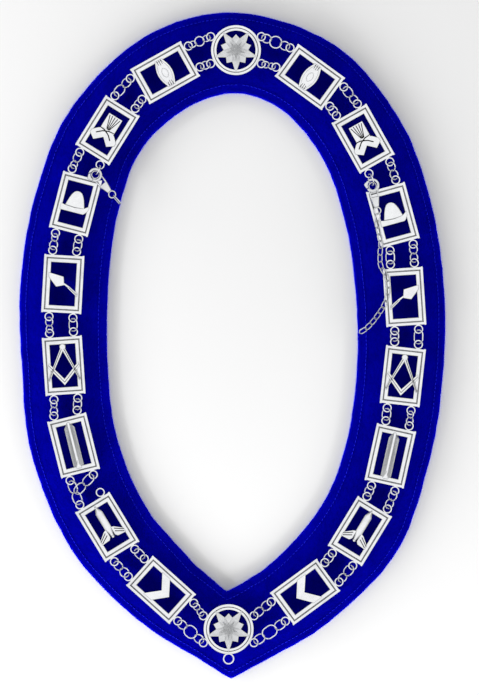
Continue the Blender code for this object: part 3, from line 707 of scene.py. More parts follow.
@dataclass
class VelvetBand:
    """The velvet band with its turned hem, lining, pile fringe and topstitching."""

    layout: Layout
    thickness: float = 2.6 * MM
    hem: float = 8.0 * MM
    lining_recess: float = 0.4 * MM
    steps: int = 14
    columns: int = 12
    sag: float = 0.45 * MM
    sag_size: float = 13 * MM
    wobble: float = 0.45 * MM
    wobble_size: float = 9 * MM
    sharpness: float = 0.7
    stitch_pitch: float = 3.1 * MM
    stitch_length: float = 2.1 * MM
    stitch_radius: float = 0.28 * MM
    stitch_lift: tuple[float, ...] = (-0.3 * MM, 0.06 * MM, 0.1 * MM, 0.06 * MM, -0.3 * MM)
    inner_line: float = 6.6 * MM
    outer_line: float = 5.0 * MM
    tuft_pitch: float = 0.75 * MM
    tuft_length: float = 1.3 * MM
    tuft_width: float = 0.32 * MM
    tuft_root: float = 0.3 * MM
    lean_size: float = 1.1 * MM
    lift_size: float = 0.7 * MM
    flat_size: tuple[float, float] = (0.324, 0.507)

    def edge_steps(self) -> Plan:
        """List the rounded edge from the top face round to the hem: inset and height."""
        top = self.thickness
        return [(2.2 * MM, top), (1.0 * MM, top - 0.12 * MM), (0.3 * MM, top - 0.6 * MM), (0, top / 2),
                (0.3 * MM, 0.55 * MM), (1.0 * MM, 0.1 * MM), (1.8 * MM, 0), (self.hem, 0),
                (self.hem + 0.3 * MM, self.lining_recess)]

    def face_height(self, point: Vector) -> float:
        """Give the height of the soft top face at a point in plan."""
        return self.thickness - self.sag * (0.5 + 0.5 * noise.noise(point / self.sag_size))

    def section(self, out: Vector, inn: Vector) -> tuple[list[Vector], list[int]]:
        """Give one section across the band and the finish of each of its faces."""
        width = (inn - out).length
        top = [(step / (self.columns + 1), self.thickness) for step in range(self.columns, 0, -1)]
        outer = [(depth / width, height) for depth, height in self.edge_steps()]
        inner = [(1 - depth / width, height) for depth, height in reversed(self.edge_steps())]
        lining = [(step / (self.columns + 1), self.lining_recess) for step in range(3, self.columns - 1)]
        shares = top + outer + lining + inner
        cloth = [0] * (len(top) + len(outer) - 1) + [1] * (len(lining) + 1) + [0] * len(inner)
        points = []
        for share, height in shares:
            point = out.lerp(inn, share)
            point.z = self.face_height(point) if height == self.thickness else height
            points.append(point)
        return points, cloth

    def pointed(self, loop: list[Vector]) -> list[Vector]:
        """Draw an edge towards straight lines on both sides of the band's point."""
        tip = [row.name for row in STATIONS].index("medallion_bottom") * self.steps
        made = list(loop)
        for start in (tip - self.steps, tip):
            for step in range(1, self.steps):
                chord = loop[start].lerp(loop[start + self.steps], step / self.steps)
                made[start + step] = loop[start + step].lerp(chord, self.sharpness)
        return made

    def edges(self) -> tuple[list[Vector], list[Vector]]:
        """Give both fine edges, with the small waves of a cut cloth edge."""
        loops = []
        for sign in (1, -1):
            loop = self.pointed(self.layout.edge(sign, self.steps))
            waved = []
            for i, point in enumerate(loop):
                along = (loop[(i + 1) % len(loop)] - loop[i - 1]).normalized()
                across = Vector((-along.y, along.x, 0))
                waved.append(point + across * (self.wobble * noise.noise(point / self.wobble_size)))
            loops.append(waved)
        return loops[0], loops[1]

    def band_mesh(self, velvet: bpy.types.Material, lining: bpy.types.Material) -> bpy.types.Mesh:
        """Make the band's own mesh."""
        bench = Bench()
        sections = [self.section(out, inn) for out, inn in zip(*self.edges())]
        bench.skin([points for points, _ in sections], around=True, slots=sections[0][1])
        return bench.mesh("velvet_band", [velvet, lining], 60.0)

    def stitch_mesh(self, thread: bpy.types.Material) -> bpy.types.Mesh:
        """Make both rows of topstitching: short thread loops that dip into the pile."""
        bench = Bench()
        out, inn = self.edges()
        last = len(self.stitch_lift) - 1
        for line, other, depth in ((out, inn, self.outer_line), (inn, out, self.inner_line)):
            row = [a + (b - a).normalized() * depth for a, b in zip(line, other)]
            points = spaced(row + row[:1], self.stitch_pitch)
            for here, following in zip(points, points[1:]):
                along = (following - here).normalized()
                top = self.face_height(here)
                stitch = [here + along * (self.stitch_length * (step / last - 0.5))
                          for step in range(last + 1)]
                for point, rise in zip(stitch, self.stitch_lift):
                    point.z = top + rise
                bench.tube(stitch, self.stitch_radius, 6)
        return bench.mesh("topstitching", [thread])

    def fringe_mesh(self, velvet: bpy.types.Material) -> bpy.types.Mesh:
        """Make the pile that stands out of both cut edges, as small closed tufts."""
        bench = Bench()
        out, inn = self.edges()
        for line, other in ((out, inn), (inn, out)):
            away = [(a - b).normalized() for a, b in zip(line, other)]
            count = len(line)
            for i in range(count):
                length = (line[(i + 1) % count] - line[i]).length
                for step in range(max(1, round(length / self.tuft_pitch))):
                    share = step * self.tuft_pitch / length
                    foot = line[i].lerp(line[(i + 1) % count], share)
                    lean = noise.noise(foot / self.lean_size)
                    foot.z = self.thickness * (0.5 + 0.35 * noise.noise(foot / self.lift_size))
                    self.tuft(bench, foot, away[i], lean)
        return bench.mesh("pile_fringe", [velvet])

    def tuft(self, bench: Bench, foot: Vector, away: Vector, lean: float) -> None:
        """Add one tuft: a thin four-sided spike that leans along the edge."""
        side = Vector((-away.y, away.x, 0))
        root = foot - away * self.tuft_root
        half = self.tuft_width / 2
        up = Vector((0, 0, half))
        corners = [root + side * half, root - up, root - side * half, root + up]
        tip = foot + away * (self.tuft_length * (0.7 + 0.5 * lean)) + side * (self.tuft_length * 0.7 * lean)
        base = [bench.bm.verts.new(corner) for corner in corners]
        point = bench.bm.verts.new(tip)
        bench.bm.faces.new(base[::-1])
        for i in range(4):
            bench.bm.faces.new((base[i - 1], base[i], point))

    def build(self) -> None:
        velvet, lining = VelvetFinish().material(), LiningFinish().material()
        thread = ThreadFinish().material()
        # Painted sheen: the fringe's tufts get a pale lavender-blue colour that stands in for light catching
        # the velvet's cut edges
        tips = VelvetFinish(name="pile_tips_painted_sheen", lit=(0.46, 0.48, 0.78), deep=(0.21, 0.23, 0.62)).material()
        band = add_piece("velvet_band", self.band_mesh(velvet, lining), "root", ["velvet_collar"])
        stitching = add_piece("velvet_topstitching", self.stitch_mesh(thread), "root")
        fringe = add_piece("velvet_pile_fringe", self.fringe_mesh(tips), "root")
        out, inn = (self.layout.edge(sign, self.steps) for sign in (1, -1))
        area = plan_area(out) - plan_area(inn)
        LOG.info("velvet band of %.4f square metres", area)


def plan_area(loop: Points) -> float:
    """Give the area inside a loop in plan."""
    return abs(sum(a.x * b.y - b.x * a.y for a, b in zip(loop, [*loop[1:], loop[0]]))) / 2


# Where a ring's cut lies, from its length, and the number of sides of its wire
CUT_ANGLE = math.radians(63)
WIRE_SIDES = 8


def wire_ring(bench: Bench, stand: Matrix, radius: float, wire: float, stretch: float = 0.0,
              slit: float = 0.0, steps: int = 28) -> None:
    """Bend a ring or, with a stretch, an oval link from wire.

    Args:
        bench: Where it is made.
        stand: Its place, with its length along X.
        radius: The radius of its centreline at the ends.
        wire: The wire's thickness.
        stretch: How far the ends are drawn apart.
        slit: The angle in radians of the cut that it was opened at.
        steps: The points round it.
    """
    line = []
    start = CUT_ANGLE + slit / 2
    for step in range(steps + (1 if slit else 0)):
        angle = start + (2 * math.pi - slit) * step / steps
        x = radius * math.cos(angle)
        line.append(stand @ Vector((x + math.copysign(stretch / 2, x), radius * math.sin(angle), 0)))
    bench.tube(line, wire / 2, WIRE_SIDES, closed=not slit)


@dataclass(frozen=True)
class Form:
    """One raised form of an emblem: its outline as shares of the half window, how it is laid, its
    lift, the radius of its top edge, and the width of its raised rim or of its swollen sides."""

    outline: tuple
    laid: Laid
    lift: float = 0.0
    edge: float = 0.5 * MM
    rim: float = 0.0
    swell: float = 0.0


@dataclass(frozen=True)
class Line:
    """One engraved line of an emblem, as shares of the half window, with its depth and half width."""

    points: tuple
    laid: Laid
    depth: float = 0.75 * MM
    width: float = 0.75 * MM


ALMOND = ((0, 0.36), (0.3, 0.345), (0.6, 0.30), (0.88, 0.235), (1.12, 0.17), (1.12, -0.17), (0.88, -0.235),
          (0.6, -0.30), (0.3, -0.345), (0, -0.36))
EYE_BALL = ((0, 0.15), (0.2, 0.13), (0.36, 0.06), (0.42, 0), (0.36, -0.06), (0.2, -0.13), (0, -0.15))
PLATE = ((0, 0.73), (0.61, 0.73), (0.61, -0.06), (0, -0.06))
CHEVRON = ((0, 0.05), (0.4, 0.02), (0.72, -0.08), (1.12, -0.31), (1.12, -0.47), (0.59, -0.69), (0, -0.37))
DOME = ((0, 0.60), (0.16, 0.585), (0.32, 0.53), (0.47, 0.40), (0.60, 0.22), (0.69, 0.04), (0.78, -0.14),
        (0, -0.17))
PLANK = ((-1.12, -0.09), (-0.8, -0.13), (0.0, -0.17), (0.7, -0.12), (1.12, 0.05), (1.12, -0.17),
         (0.92, -0.34), (0.78, -0.41), (-1.12, -0.41))
BLADE = ((-1.16, 0.52), (0.05, 0.35), (0.13, -0.06), (-0.53, -0.15), (-1.16, 0.30))
NECK = ((0.02, 0.0), (0.12, 0.05), (0.55, -0.11), (0.50, -0.20))
HANDLE = ((0.44, -0.05), (1.18, -0.40), (1.14, -0.56), (0.36, -0.17))
LEG = ((0.02, 0.90), (0.20, 0.80), (1.27, -0.60), (1.17, -0.70), (0.45, 0.14), (-0.08, 0.74))
SQUARE = ((0, -0.60), (1.16, 0.16), (1.26, -0.04), (0, -0.90))
WING = ((0.22, -0.06), (0.49, -0.12), (1.08, -0.41), (1.08, -0.62), (0.37, -0.59), (0.20, -0.47))
TRY_SQUARE = ((0, -0.03), (1.10, 0.50), (1.10, 0.02), (0, -0.50))
OBELISK = ((0, 1.06), (0.16, 1.06), (0.41, 0.80), (0.41, -1.06), (0, -1.06))
SHAFT = ((0, 1.10), (0.29, 0.74), (0.27, -0.16), (0.12, -0.44), (0, -0.46))
FOOT = ((0, -0.70), (0.20, -1.00), (0.20, -1.06), (0, -1.06))
FORMS = {
    1: [Form(ALMOND, Laid.MIRRORED, 0.1 * MM, rim=1.25 * MM),
        Form(EYE_BALL, Laid.MIRRORED, 0.3 * MM, swell=1.0 * MM)],
    2: [Form(CHEVRON, Laid.MIRRORED, 0.25 * MM, 0.7 * MM), Form(PLATE, Laid.MIRRORED)],
    3: [Form(PLANK, Laid.DRAWN, 0.0, 0.8 * MM),
        Form(DOME, Laid.MIRRORED, 0.25 * MM, 0.9 * MM, swell=2.6 * MM)],
    4: [Form(BLADE, Laid.OUTWARDS, 0.1 * MM, 0.9 * MM), Form(NECK, Laid.OUTWARDS, -0.1 * MM, 0.3 * MM),
        Form(HANDLE, Laid.OUTWARDS, 0.25 * MM, 0.5 * MM)],
    5: [Form(SQUARE, Laid.MIRRORED), Form(LEG, Laid.DRAWN, 0.4 * MM, 0.6 * MM),
        Form(LEG, Laid.TURNED, 0.3 * MM, 0.6 * MM)],
    7: [Form(WING, Laid.DRAWN, 0.0, 0.6 * MM), Form(WING, Laid.TURNED, 0.0, 0.6 * MM)],
    8: [Form(TRY_SQUARE, Laid.MIRRORED, 0.05 * MM, 0.35 * MM)],
}
# Ridged forms: plaque, right half of the outline, and the heights of eave and ridge over the emblem's top
ROOFS = {
    6: [(OBELISK, -2.0 * MM, 0.4 * MM), (FOOT, 0.1 * MM, 0.65 * MM)],
    7: [(SHAFT, -0.6 * MM, 0.55 * MM)],
}
# Round bosses: plaque, share along the window, radius
KNOBS = {5: [(0.86, 2.5 * MM)], 7: [(-0.50, 1.25 * MM)]}
LINES = {
    1: [Line(((0.72, 0.09), (1.14, 0.10)), Laid.MIRRORED), Line(((0.66, 0), (1.14, 0)), Laid.MIRRORED),
        Line(((0.72, -0.09), (1.14, -0.10)), Laid.MIRRORED)],
    2: [Line(((0, 0.02), (0, 0.68)), Laid.DRAWN), Line(((0.06, 0.03), (0.24, 0.68)), Laid.MIRRORED),
        Line(((0.12, 0.05), (0.46, 0.66)), Laid.MIRRORED),
        Line(((-0.60, -0.02), (-0.2, -0.05), (0.25, -0.17), (0.6, -0.36)), Laid.DRAWN),
        Line(((0.60, 0.02), (0.15, -0.01), (-0.3, -0.13), (-0.7, -0.34)), Laid.DRAWN)],
    4: [Line(((0.48, -0.14), (1.12, -0.465)), Laid.OUTWARDS, width=0.4 * MM)],
    5: [Line(((0, -0.755), (1.2, 0.055)), Laid.MIRRORED, width=0.5 * MM),
        Line(((0.1, 0.76), (0.58, 0.16), (1.2, -0.63)), Laid.MIRRORED, width=0.4 * MM)],
    7: [Line(((0.40, -0.20), (1.04, -0.46)), Laid.MIRRORED),
        Line(((0.36, -0.33), (1.0, -0.55)), Laid.MIRRORED)],
}


@dataclass
class Plaque:
    """A pierced rectangular plaque, cast with four eyes and one working-tool emblem."""

    number: int
    outer: int
    length: float = 44.5 * MM
    width: float = 30.6 * MM
    thickness: float = 3.2 * MM
    bar: float = 5.6 * MM
    low_step: float = 2.6 * MM
    emblem_top: float = 3.1 * MM
    emblem_foot: float = 0.6 * MM
    end_recess: float = 0.35 * MM
    strip: float = 1.5 * MM
    strip_setback: float = 0.08 * MM
    strip_foot: float = 0.4 * MM
    strip_drop: float = 0.03 * MM
    strip_edge: float = 0.3 * MM
    eye_radius: float = 3.0 * MM
    eye_wire: float = 1.1 * MM
    eye_spacing: float = 18.2 * MM
    lug_reach: tuple[float, float] = (-0.6 * MM, 0.45 * MM)
    lug_half_widths: tuple[float, float] = (1.5 * MM, 0.9 * MM)
    lug_levels: tuple[float, float] = (-0.5 * MM, 0.45 * MM)
    lug_edge: float = 0.25 * MM
    ridge_flat: float = 0.75 * MM

    def in_window(self, shares: Sequence[tuple[float, float]], flip: int = 1) -> Plan:
        """Turn shares of the half window into lengths."""
        across, along = self.width / 2 - self.bar, self.length / 2 - self.bar
        return [(flip * x * across, y * along) for x, y in shares]

    def flips(self, laid: Laid) -> list[int]:
        """List the signs that a drawn outline is laid with."""
        signs = {Laid.DRAWN: [1], Laid.TURNED: [-1], Laid.OUTWARDS: [-self.outer], Laid.MIRRORED: [1, -1]}
        return signs[laid]

    def frame_profile(self) -> Plan:
        """Give the bar's section: rounded outer strip, groove, bright inner strip."""
        top, low, bar = self.thickness, self.low_step, self.bar
        return [(0, 0.25 * MM), (0, top - 0.35 * MM), (0.12 * MM, top - 0.1 * MM), (0.4 * MM, top),
                (1.7 * MM, top), (1.9 * MM, top - 0.1 * MM), (2.0 * MM, low - 0.9 * MM),
                (2.65 * MM, low - 0.9 * MM), (2.8 * MM, low - 0.1 * MM), (3.0 * MM, low + 0.1 * MM),
                (bar - 0.4 * MM, low + 0.1 * MM), (bar - 0.1 * MM, low - 0.1 * MM), (bar, low - 0.5 * MM),
                (bar, 0.2 * MM), (bar - 0.25 * MM, 0), (0.3 * MM, 0)]

    def add_frame(self, bench: Bench) -> None:
        """Sweep the bar round the window and add the long strips over the short bars' ends."""
        half_width, half_length = self.width / 2, self.length / 2 - self.end_recess
        loops = []
        for x_sign, y_sign in ((-1, -1), (1, -1), (1, 1), (-1, 1)):
            loops.append([Vector((x_sign * (half_width - depth), y_sign * (half_length - depth), height))
                          for depth, height in self.frame_profile()])
        bench.skin(loops, around=True)
        end = self.length / 2
        for sign in (-1, 1):
            out, inn = sign * (half_width - self.strip_setback), sign * (half_width - self.strip)
            strip = [(out, end), (inn, end), (inn, -end), (out, -end)]
            bench.relief(strip, rounded(self.strip_foot, self.thickness - self.strip_drop, self.strip_edge))

    def eye_places(self) -> Plan:
        """List the middles of the four eyes."""
        reach = self.length / 2 + self.eye_radius
        return [(x * self.eye_spacing / 2, y * reach) for x in (-1, 1) for y in (-1, 1)]

    def add_eyes(self, bench: Bench) -> None:
        """Add the cast eyes, each with a small lug on the bar."""
        height = self.thickness - self.eye_wire / 2
        for x, y in self.eye_places():
            wire_ring(bench, Matrix.Translation((x, y, height)), self.eye_radius, self.eye_wire)
            sign = math.copysign(1, y)
            foot, tip = (sign * (self.length / 2 + reach) for reach in self.lug_reach)
            wide, narrow = self.lug_half_widths
            lug = [(x - wide, foot), (x + wide, foot), (x + narrow, tip), (x - narrow, tip)]
            low, high = (height + level for level in self.lug_levels)
            bench.relief(lug, rounded(low, high, self.lug_edge))

    def add_forms(self, bench: Bench) -> None:
        """Raise the emblem's forms, ridged shafts and bosses."""
        for form in FORMS.get(self.number, []):
            top = self.emblem_top + form.lift
            foot = self.emblem_foot + form.lift / 2
            profile = rounded(foot, top, form.edge)
            if form.rim:
                profile += [(form.rim, top), (form.rim + 0.25 * MM, top - 0.35 * MM)]
            if form.swell:
                profile = swollen(foot, top, form.swell, 0.8 * MM, (0, 0.25, 0.5, 0.8, 1.15, 1.45))
            if form.laid is Laid.MIRRORED:
                bench.relief(self.in_window(mirrored(list(form.outline))), profile)
            else:
                bench.relief(self.in_window(form.outline, self.flips(form.laid)[0]), profile)
        for half, eave, ridge in ROOFS.get(self.number, []):
            bench.roof(self.in_window(half), self.emblem_foot, self.emblem_top + eave,
                       self.emblem_top + ridge, self.ridge_flat)
        for along, radius in KNOBS.get(self.number, []):
            y = along * (self.length / 2 - self.bar)
            angles = [math.pi * step / 8 for step in range(16)]
            disc = [(radius * math.cos(angle), y + radius * math.sin(angle)) for angle in angles]
            profile = swollen(0.3 * MM, self.emblem_top + 0.5 * MM, radius * 0.8, 1.0 * MM,
                              (0, 0.3, 0.6, 0.9, 1.2))
            bench.relief(disc, profile)

    def add_grooves(self, bench: Bench) -> None:
        """Add the cutters of the engraved lines: three-sided bars with an edge down."""
        for line in LINES.get(self.number, []):
            for flip in self.flips(line.laid):
                points = [Vector((x, y, 0)) for x, y in self.in_window(line.points, flip)]
                loops = []
                for i, point in enumerate(points):
                    along = (points[min(i + 1, len(points) - 1)] - points[max(i - 1, 0)]).normalized()
                    side = Vector((-along.y, along.x, 0)) * line.width
                    top = Vector((0, 0, self.emblem_top + 0.9 * MM))
                    loops.append([point + side + top, point - side + top,
                                  point + Vector((0, 0, self.emblem_top - line.depth))])
                bench.skin(loops, caps=True)

    def mesh(self, finish: bpy.types.Material) -> bpy.types.Mesh:
        """Cast the plaque.

        Args:
            finish: The silver.

        Returns:
            Its mesh, with the engraved lines cut.
        """
        bench = Bench()
        self.add_forms(bench)
        emblem = bench.mesh("emblem", [finish])
        if self.number in LINES:
            cutters = Bench()
            self.add_grooves(cutters)
            emblem = engraved(emblem, cutters.mesh("grooves", [finish]))
        bench = Bench()
        self.add_frame(bench)
        self.add_eyes(bench)
        bench.bm.from_mesh(emblem)
        return bench.mesh("plaque_casting", [finish])


def engraved(mesh: bpy.types.Mesh, cutters: bpy.types.Mesh) -> bpy.types.Mesh:
    """Cut grooves out of a mesh of overlapping shells."""
    work, tool = (linked(item.name, item) for item in (mesh, cutters))
    cut = work.modifiers.new("engraving", "BOOLEAN")
    cut.operation = "DIFFERENCE"
    cut.solver = "EXACT"
    cut.use_self = True
    cut.object = tool
    bpy.context.view_layer.update()
    made = bpy.data.meshes.new_from_object(work.evaluated_get(bpy.context.evaluated_depsgraph_get()))
    for item in (work, tool):
        bpy.data.objects.remove(item, do_unlink=True)
    return made


@dataclass
class Plaques:
    """The sixteen plaques of both sides."""

    layout: Layout
    silver: bpy.types.Material
    base: float = 2.9 * MM

    def build(self) -> None:
        """Cast the eight designs and set them on the velvet."""
        castings: dict[tuple[int, int], bpy.types.Mesh] = {}
        plaques = {name: place for name, place in self.layout.places.items() if name.startswith("plaque")}
        for name, place in plaques.items():
            number, outer = int(name[-1]), place.outer_sign()
            key = (number, outer if Laid.OUTWARDS in {form.laid for form in FORMS.get(number, [])} else 0)
            if key not in castings:
                castings[key] = Plaque(number, outer).mesh(self.silver)
            add_piece("cast_" + name, castings[key], "root", [name], place.stand(self.base))
        LOG.info("%d plaques from %d castings", len(plaques), len(castings))


@dataclass
class Medallion:
    """A round medallion: turned ring, engraved circle, ten-rayed star and cast eyes."""

    layout: Layout
    name: str
    silver: bpy.types.Material
    star_silver: bpy.types.Material
    radius: float = 19.2 * MM
    ring_width: float = 4.4 * MM
    thickness: float = 2.8 * MM
    eye_height: float = 2.65 * MM
    eye_radius: float = 3.0 * MM
    eye_wire: float = 1.1 * MM
    eye_reach: float = 2.6 * MM
    eye_angle: float = math.radians(28)
    drop_eye_radius: float = 3.8 * MM
    drop_eye_wire: float = 1.3 * MM
    long_ray: float = 17.6 * MM
    short_ray: float = 12.0 * MM
    valley: float = 9.3 * MM
    star_rise: float = 1.7 * MM
    star_brim: float = 0.15 * MM
    star_foot: float = 1.0 * MM
    facet_share: float = 0.42
    ray_lift: float = 0.78
    valley_lift: float = 0.30
    points: int = 10
    base: float = 2.9 * MM

    def ring_profile(self) -> Plan:
        """Give the ring's turned section, with its engraved circle."""
        out, inn, top = self.radius, self.radius - self.ring_width, self.thickness
        line = out - 2.35 * MM
        return [(inn, 0.2 * MM), (inn, top - 0.35 * MM), (inn + 0.12 * MM, top - 0.1 * MM),
                (inn + 0.4 * MM, top),
                (line - 0.35 * MM, top), (line - 0.2 * MM, top - 0.8 * MM), (line + 0.2 * MM, top - 0.8 * MM),
                (line + 0.35 * MM, top), (out - 0.7 * MM, top),
                (out - 0.3 * MM, top - 0.12 * MM), (out, top - 0.6 * MM), (out, 0.3 * MM),
                (out - 0.3 * MM, 0), (inn + 0.2 * MM, 0)]

    def star_mesh(self) -> bpy.types.Mesh:
        """Make the star, each ray faceted to a ridge."""
        bench = Bench()
        rim = []
        for index in range(2 * self.points):
            reach = self.valley
            if index % 2 == 0:
                reach = self.long_ray if index % 4 == 0 else self.short_ray
            rim.append(plan_direction(math.pi * index / self.points - math.pi / 2) * reach)
        edge = self.thickness + self.star_brim
        heights = (self.star_foot, edge)
        low, brim = ([bench.bm.verts.new(point + Vector((0, 0, height))) for point in rim]
                     for height in heights)
        mid = []
        for index, point in enumerate(rim):
            lift = self.valley_lift if index % 2 else self.ray_lift
            raised = Vector((0, 0, edge + self.star_rise * lift))
            mid.append(bench.bm.verts.new(point * self.facet_share + raised))
        apex = bench.bm.verts.new((0, 0, edge + self.star_rise))
        bench.bm.faces.new(low[::-1])
        for i in range(len(rim)):
            bench.bm.faces.new((low[i - 1], low[i], brim[i], brim[i - 1]))
            bench.bm.faces.new((mid[i - 1], mid[i], apex))
            tip, dip = (i, i - 1) if i % 2 == 0 else (i - 1, i)
            bench.bm.faces.new((brim[dip], brim[tip], mid[tip]))
            bench.bm.faces.new((brim[dip], mid[tip], mid[dip]))
        return bench.mesh("star", [self.star_silver], 8.0)

    def build(self) -> None:
        """Build the medallion and set it on the velvet."""
        bench = Bench()
        bench.turned(self.ring_profile(), 72)
        for sign in (-1, 1):
            for tilt in (-1, 1):
                angle = math.pi / 2 - sign * (math.pi / 2 + tilt * self.eye_angle)
                spot = plan_direction(angle) * (self.radius + self.eye_reach)
                spot.z = self.eye_height
                wire_ring(bench, Matrix.Translation(spot), self.eye_radius, self.eye_wire)
        if self.name == "medallion_bottom":
            reach = self.radius + self.drop_eye_radius - self.eye_wire / 2
            wire_ring(bench, Matrix.Translation((0, -reach, self.eye_height)), self.drop_eye_radius,
                      self.drop_eye_wire)
        middle = self.layout.places[self.name].middle + Vector((0, 0, self.base))
        stand = Matrix.Translation(middle)
        add_piece("cast_" + self.name, bench.mesh("medallion_ring", [self.silver]), "root",
                  [self.name], stand)
        add_piece("star_" + self.name, self.star_mesh(), "root", [], stand)
        LOG.info("%s", self.name)


@dataclass(frozen=True)
class Connector:
    """A run of rings: its node, the piece and eye at both ends, each ring's share of the length."""

    name: str
    first: tuple[str, str]
    last: tuple[str, str]
    shares: tuple[float, ...]


# Shares of the rings of each gap, from the upper medallion to the lower. An inner run that isn't
# listed is one ring.
OUTER_SHARES = {
    Side.LEFT: [(1, 1.2, 1), (1, 1.2), (1.3, 1), (1, 1.2), (1.2, 1), (1, 1.1), (1, 1), (1, 1), (1, 1.3, 1)],
    Side.RIGHT: [(1, 1.2, 1), (1.2, 1), (1, 1.1), (1, 1), (1,), (1, 1.2), (1, 1), (1.2, 1), (1, 1.3, 1)],
}
INNER_SHARES = {Side.LEFT: {8: (1, 1)}, Side.RIGHT: {0: (1, 1), 8: (1, 1)}}
# The connector whose inner run crosses to the outer one, so that both are one node
JOINED = "left_6"


def connectors() -> list[Connector]:
    """List the connectors of both sides, from the upper medallion to the lower."""
    rows = []
    for side, gaps in OUTER_SHARES.items():
        for gap, outer in enumerate(gaps):
            name = f"{side.value}_{gap}"
            for level, shares in (("outer", outer), ("inner", INNER_SHARES[side].get(gap, (1,)))):
                eye = f"{side.value}_{level}"
                first = (f"plaque_{name}", f"down_{level}")
                last = (f"plaque_{side.value}_{gap + 1}", f"up_{level}")
                if gap == 0:
                    first = ("medallion_top", eye)
                if gap == len(gaps) - 1:
                    last = ("medallion_bottom", eye)
                if name != JOINED:
                    rows.append(Connector(f"{name}_{level}", first, last, shares))
                elif level == "outer":
                    rows.append(Connector(name, first, last, shares))
    return rows


@dataclass(frozen=True)
class JumpRing:
    """One ring's place: its middle, the way it runs, radius, roll and stretch."""

    middle: Vector
    direction: Vector
    radius: float
    roll: float
    stretch: float

    def stand(self) -> Matrix:
        """Give its matrix: length along its direction, rolled about it."""
        spin = Matrix.Rotation(math.atan2(self.direction.y, self.direction.x), 4, "Z")
        return Matrix.Translation(self.middle) @ spin @ Matrix.Rotation(self.roll, 4, "X")


@dataclass
class Rings:
    """The jump rings between the pieces."""

    layout: Layout
    silver: bpy.types.Material
    wire: float = 1.05 * MM
    solid_wire: float = 1.0 * MM
    fuse: float = 0.25 * MM
    roll: float = math.radians(36)
    hooked_roll: float = math.radians(68)
    hooked: tuple[str, ...] = ("left_2_inner", "right_2_inner")
    top_radius: float = 3.9 * MM
    flat_top_radius: float = 4.4 * MM
    end_pitch: float = 2.5 * MM
    eye_height: float = 5.55 * MM
    floor: float = 3.4 * MM
    slit: float = math.radians(5)

    def eye_point(self, piece: str, eye: str) -> Vector:
        """Find the middle of a named eye.

        Args:
            piece: The plaque or medallion.
            eye: Its end or side, and outer or inner.

        Returns:
            The eye's middle.
        """
        place = self.layout.places[piece]
        if piece.startswith("medallion"):
            side, level = eye.split("_")
            tilt = 1 if (level == "outer") == (piece == "medallion_top") else -1
            middle, sign = (math.pi, -1) if side == "left" else (0.0, 1)
            reach = Medallion.radius + Medallion.eye_reach
            around = plan_direction(middle + sign * tilt * Medallion.eye_angle) * reach
            return place.middle + around + Vector((0, 0, self.eye_height))
        end = 1 if eye.startswith("up") else -1
        side = 1 if (place.outer_sign() > 0) == eye.endswith("outer") else -1
        along = end * (Plaque.length / 2 + Plaque.eye_radius)
        return place.point(side * Plaque.eye_spacing / 2, along, self.eye_height)

    def ring_height(self, radius: float, tilt: float) -> float:
        """Give the height of a ring's middle: clear of the velvet, and no lower than the eyes."""
        return max(self.eye_height, self.floor + math.sin(tilt) * radius)

    def run(self, start: Vector, end: Vector, shares: Sequence[float], last_pitch: float,
            tilt: float) -> list[JumpRing]:
        """Lay rings from one eye to another, as the solids lie.

        Args:
            start: The first eye's middle.
            end: The last eye's middle.
            shares: The share of the length of each ring.
            last_pitch: How far the last ring passes into its eye.
            tilt: The roll of a ring that passes through an eye.

        Returns:
            The rings.
        """
        direction = (end - start).normalized()
        pitch = self.solid_wire - self.fuse
        eye = Plaque.eye_radius
        length = (end - start).length - 2 * eye + self.end_pitch + last_pitch + pitch * (len(shares) - 1)
        travelled = eye - self.end_pitch
        raised = self.ring_height(min(length / len(shares) / 2, self.top_radius), tilt)
        rings = []
        for index, share in enumerate(shares):
            half = length * share / sum(shares) / 2
            flat = 0 < index < len(shares) - 1
            roll = 0.0 if flat else tilt * (-1 if index and len(shares) == 2 else 1)
            radius = min(half, self.flat_top_radius if flat else self.top_radius)
            middle = start + direction * (travelled + half)
            middle.z = raised if flat else self.ring_height(radius, tilt)
            rings.append(JumpRing(middle, direction, radius, roll, 2 * (half - radius)))
            travelled += 2 * half - pitch
        return rings

    def connector(self, row: Connector) -> list[JumpRing]:
        """Give a connector's rings, with the second run of the joined one."""
        start, end = self.eye_point(*row.first), self.eye_point(*row.last)
        tilt = self.hooked_roll if row.name in self.hooked else self.roll
        rings = self.run(start, end, row.shares, self.end_pitch, tilt)
        if row.name == JOINED:
            inner = self.eye_point(row.first[0], "down_inner")
            reach = rings[0].radius + rings[0].stretch / 2 + self.fuse / 2
            crossing = rings[0].middle + rings[0].direction * reach
            crossing.z = inner.z
            beyond = crossing + (crossing - inner).normalized() * Plaque.eye_radius
            rings += self.run(inner, beyond, (1, 1), 0.0, self.roll)
        return rings

    def build(self) -> None:
        """Bend every ring and hang it between its eyes."""
        count = 0
        rows = connectors()
        for row in rows:
            bench = Bench()
            for ring in self.connector(row):
                wire_ring(bench, ring.stand(), ring.radius, self.wire, ring.stretch, self.slit)
                count += 1
            add_piece("jump_rings_" + row.name, bench.mesh("jump_rings", [self.silver]), "root",
                      ["rings_" + row.name])
        LOG.info("%d jump rings in %d connectors", count, len(rows))


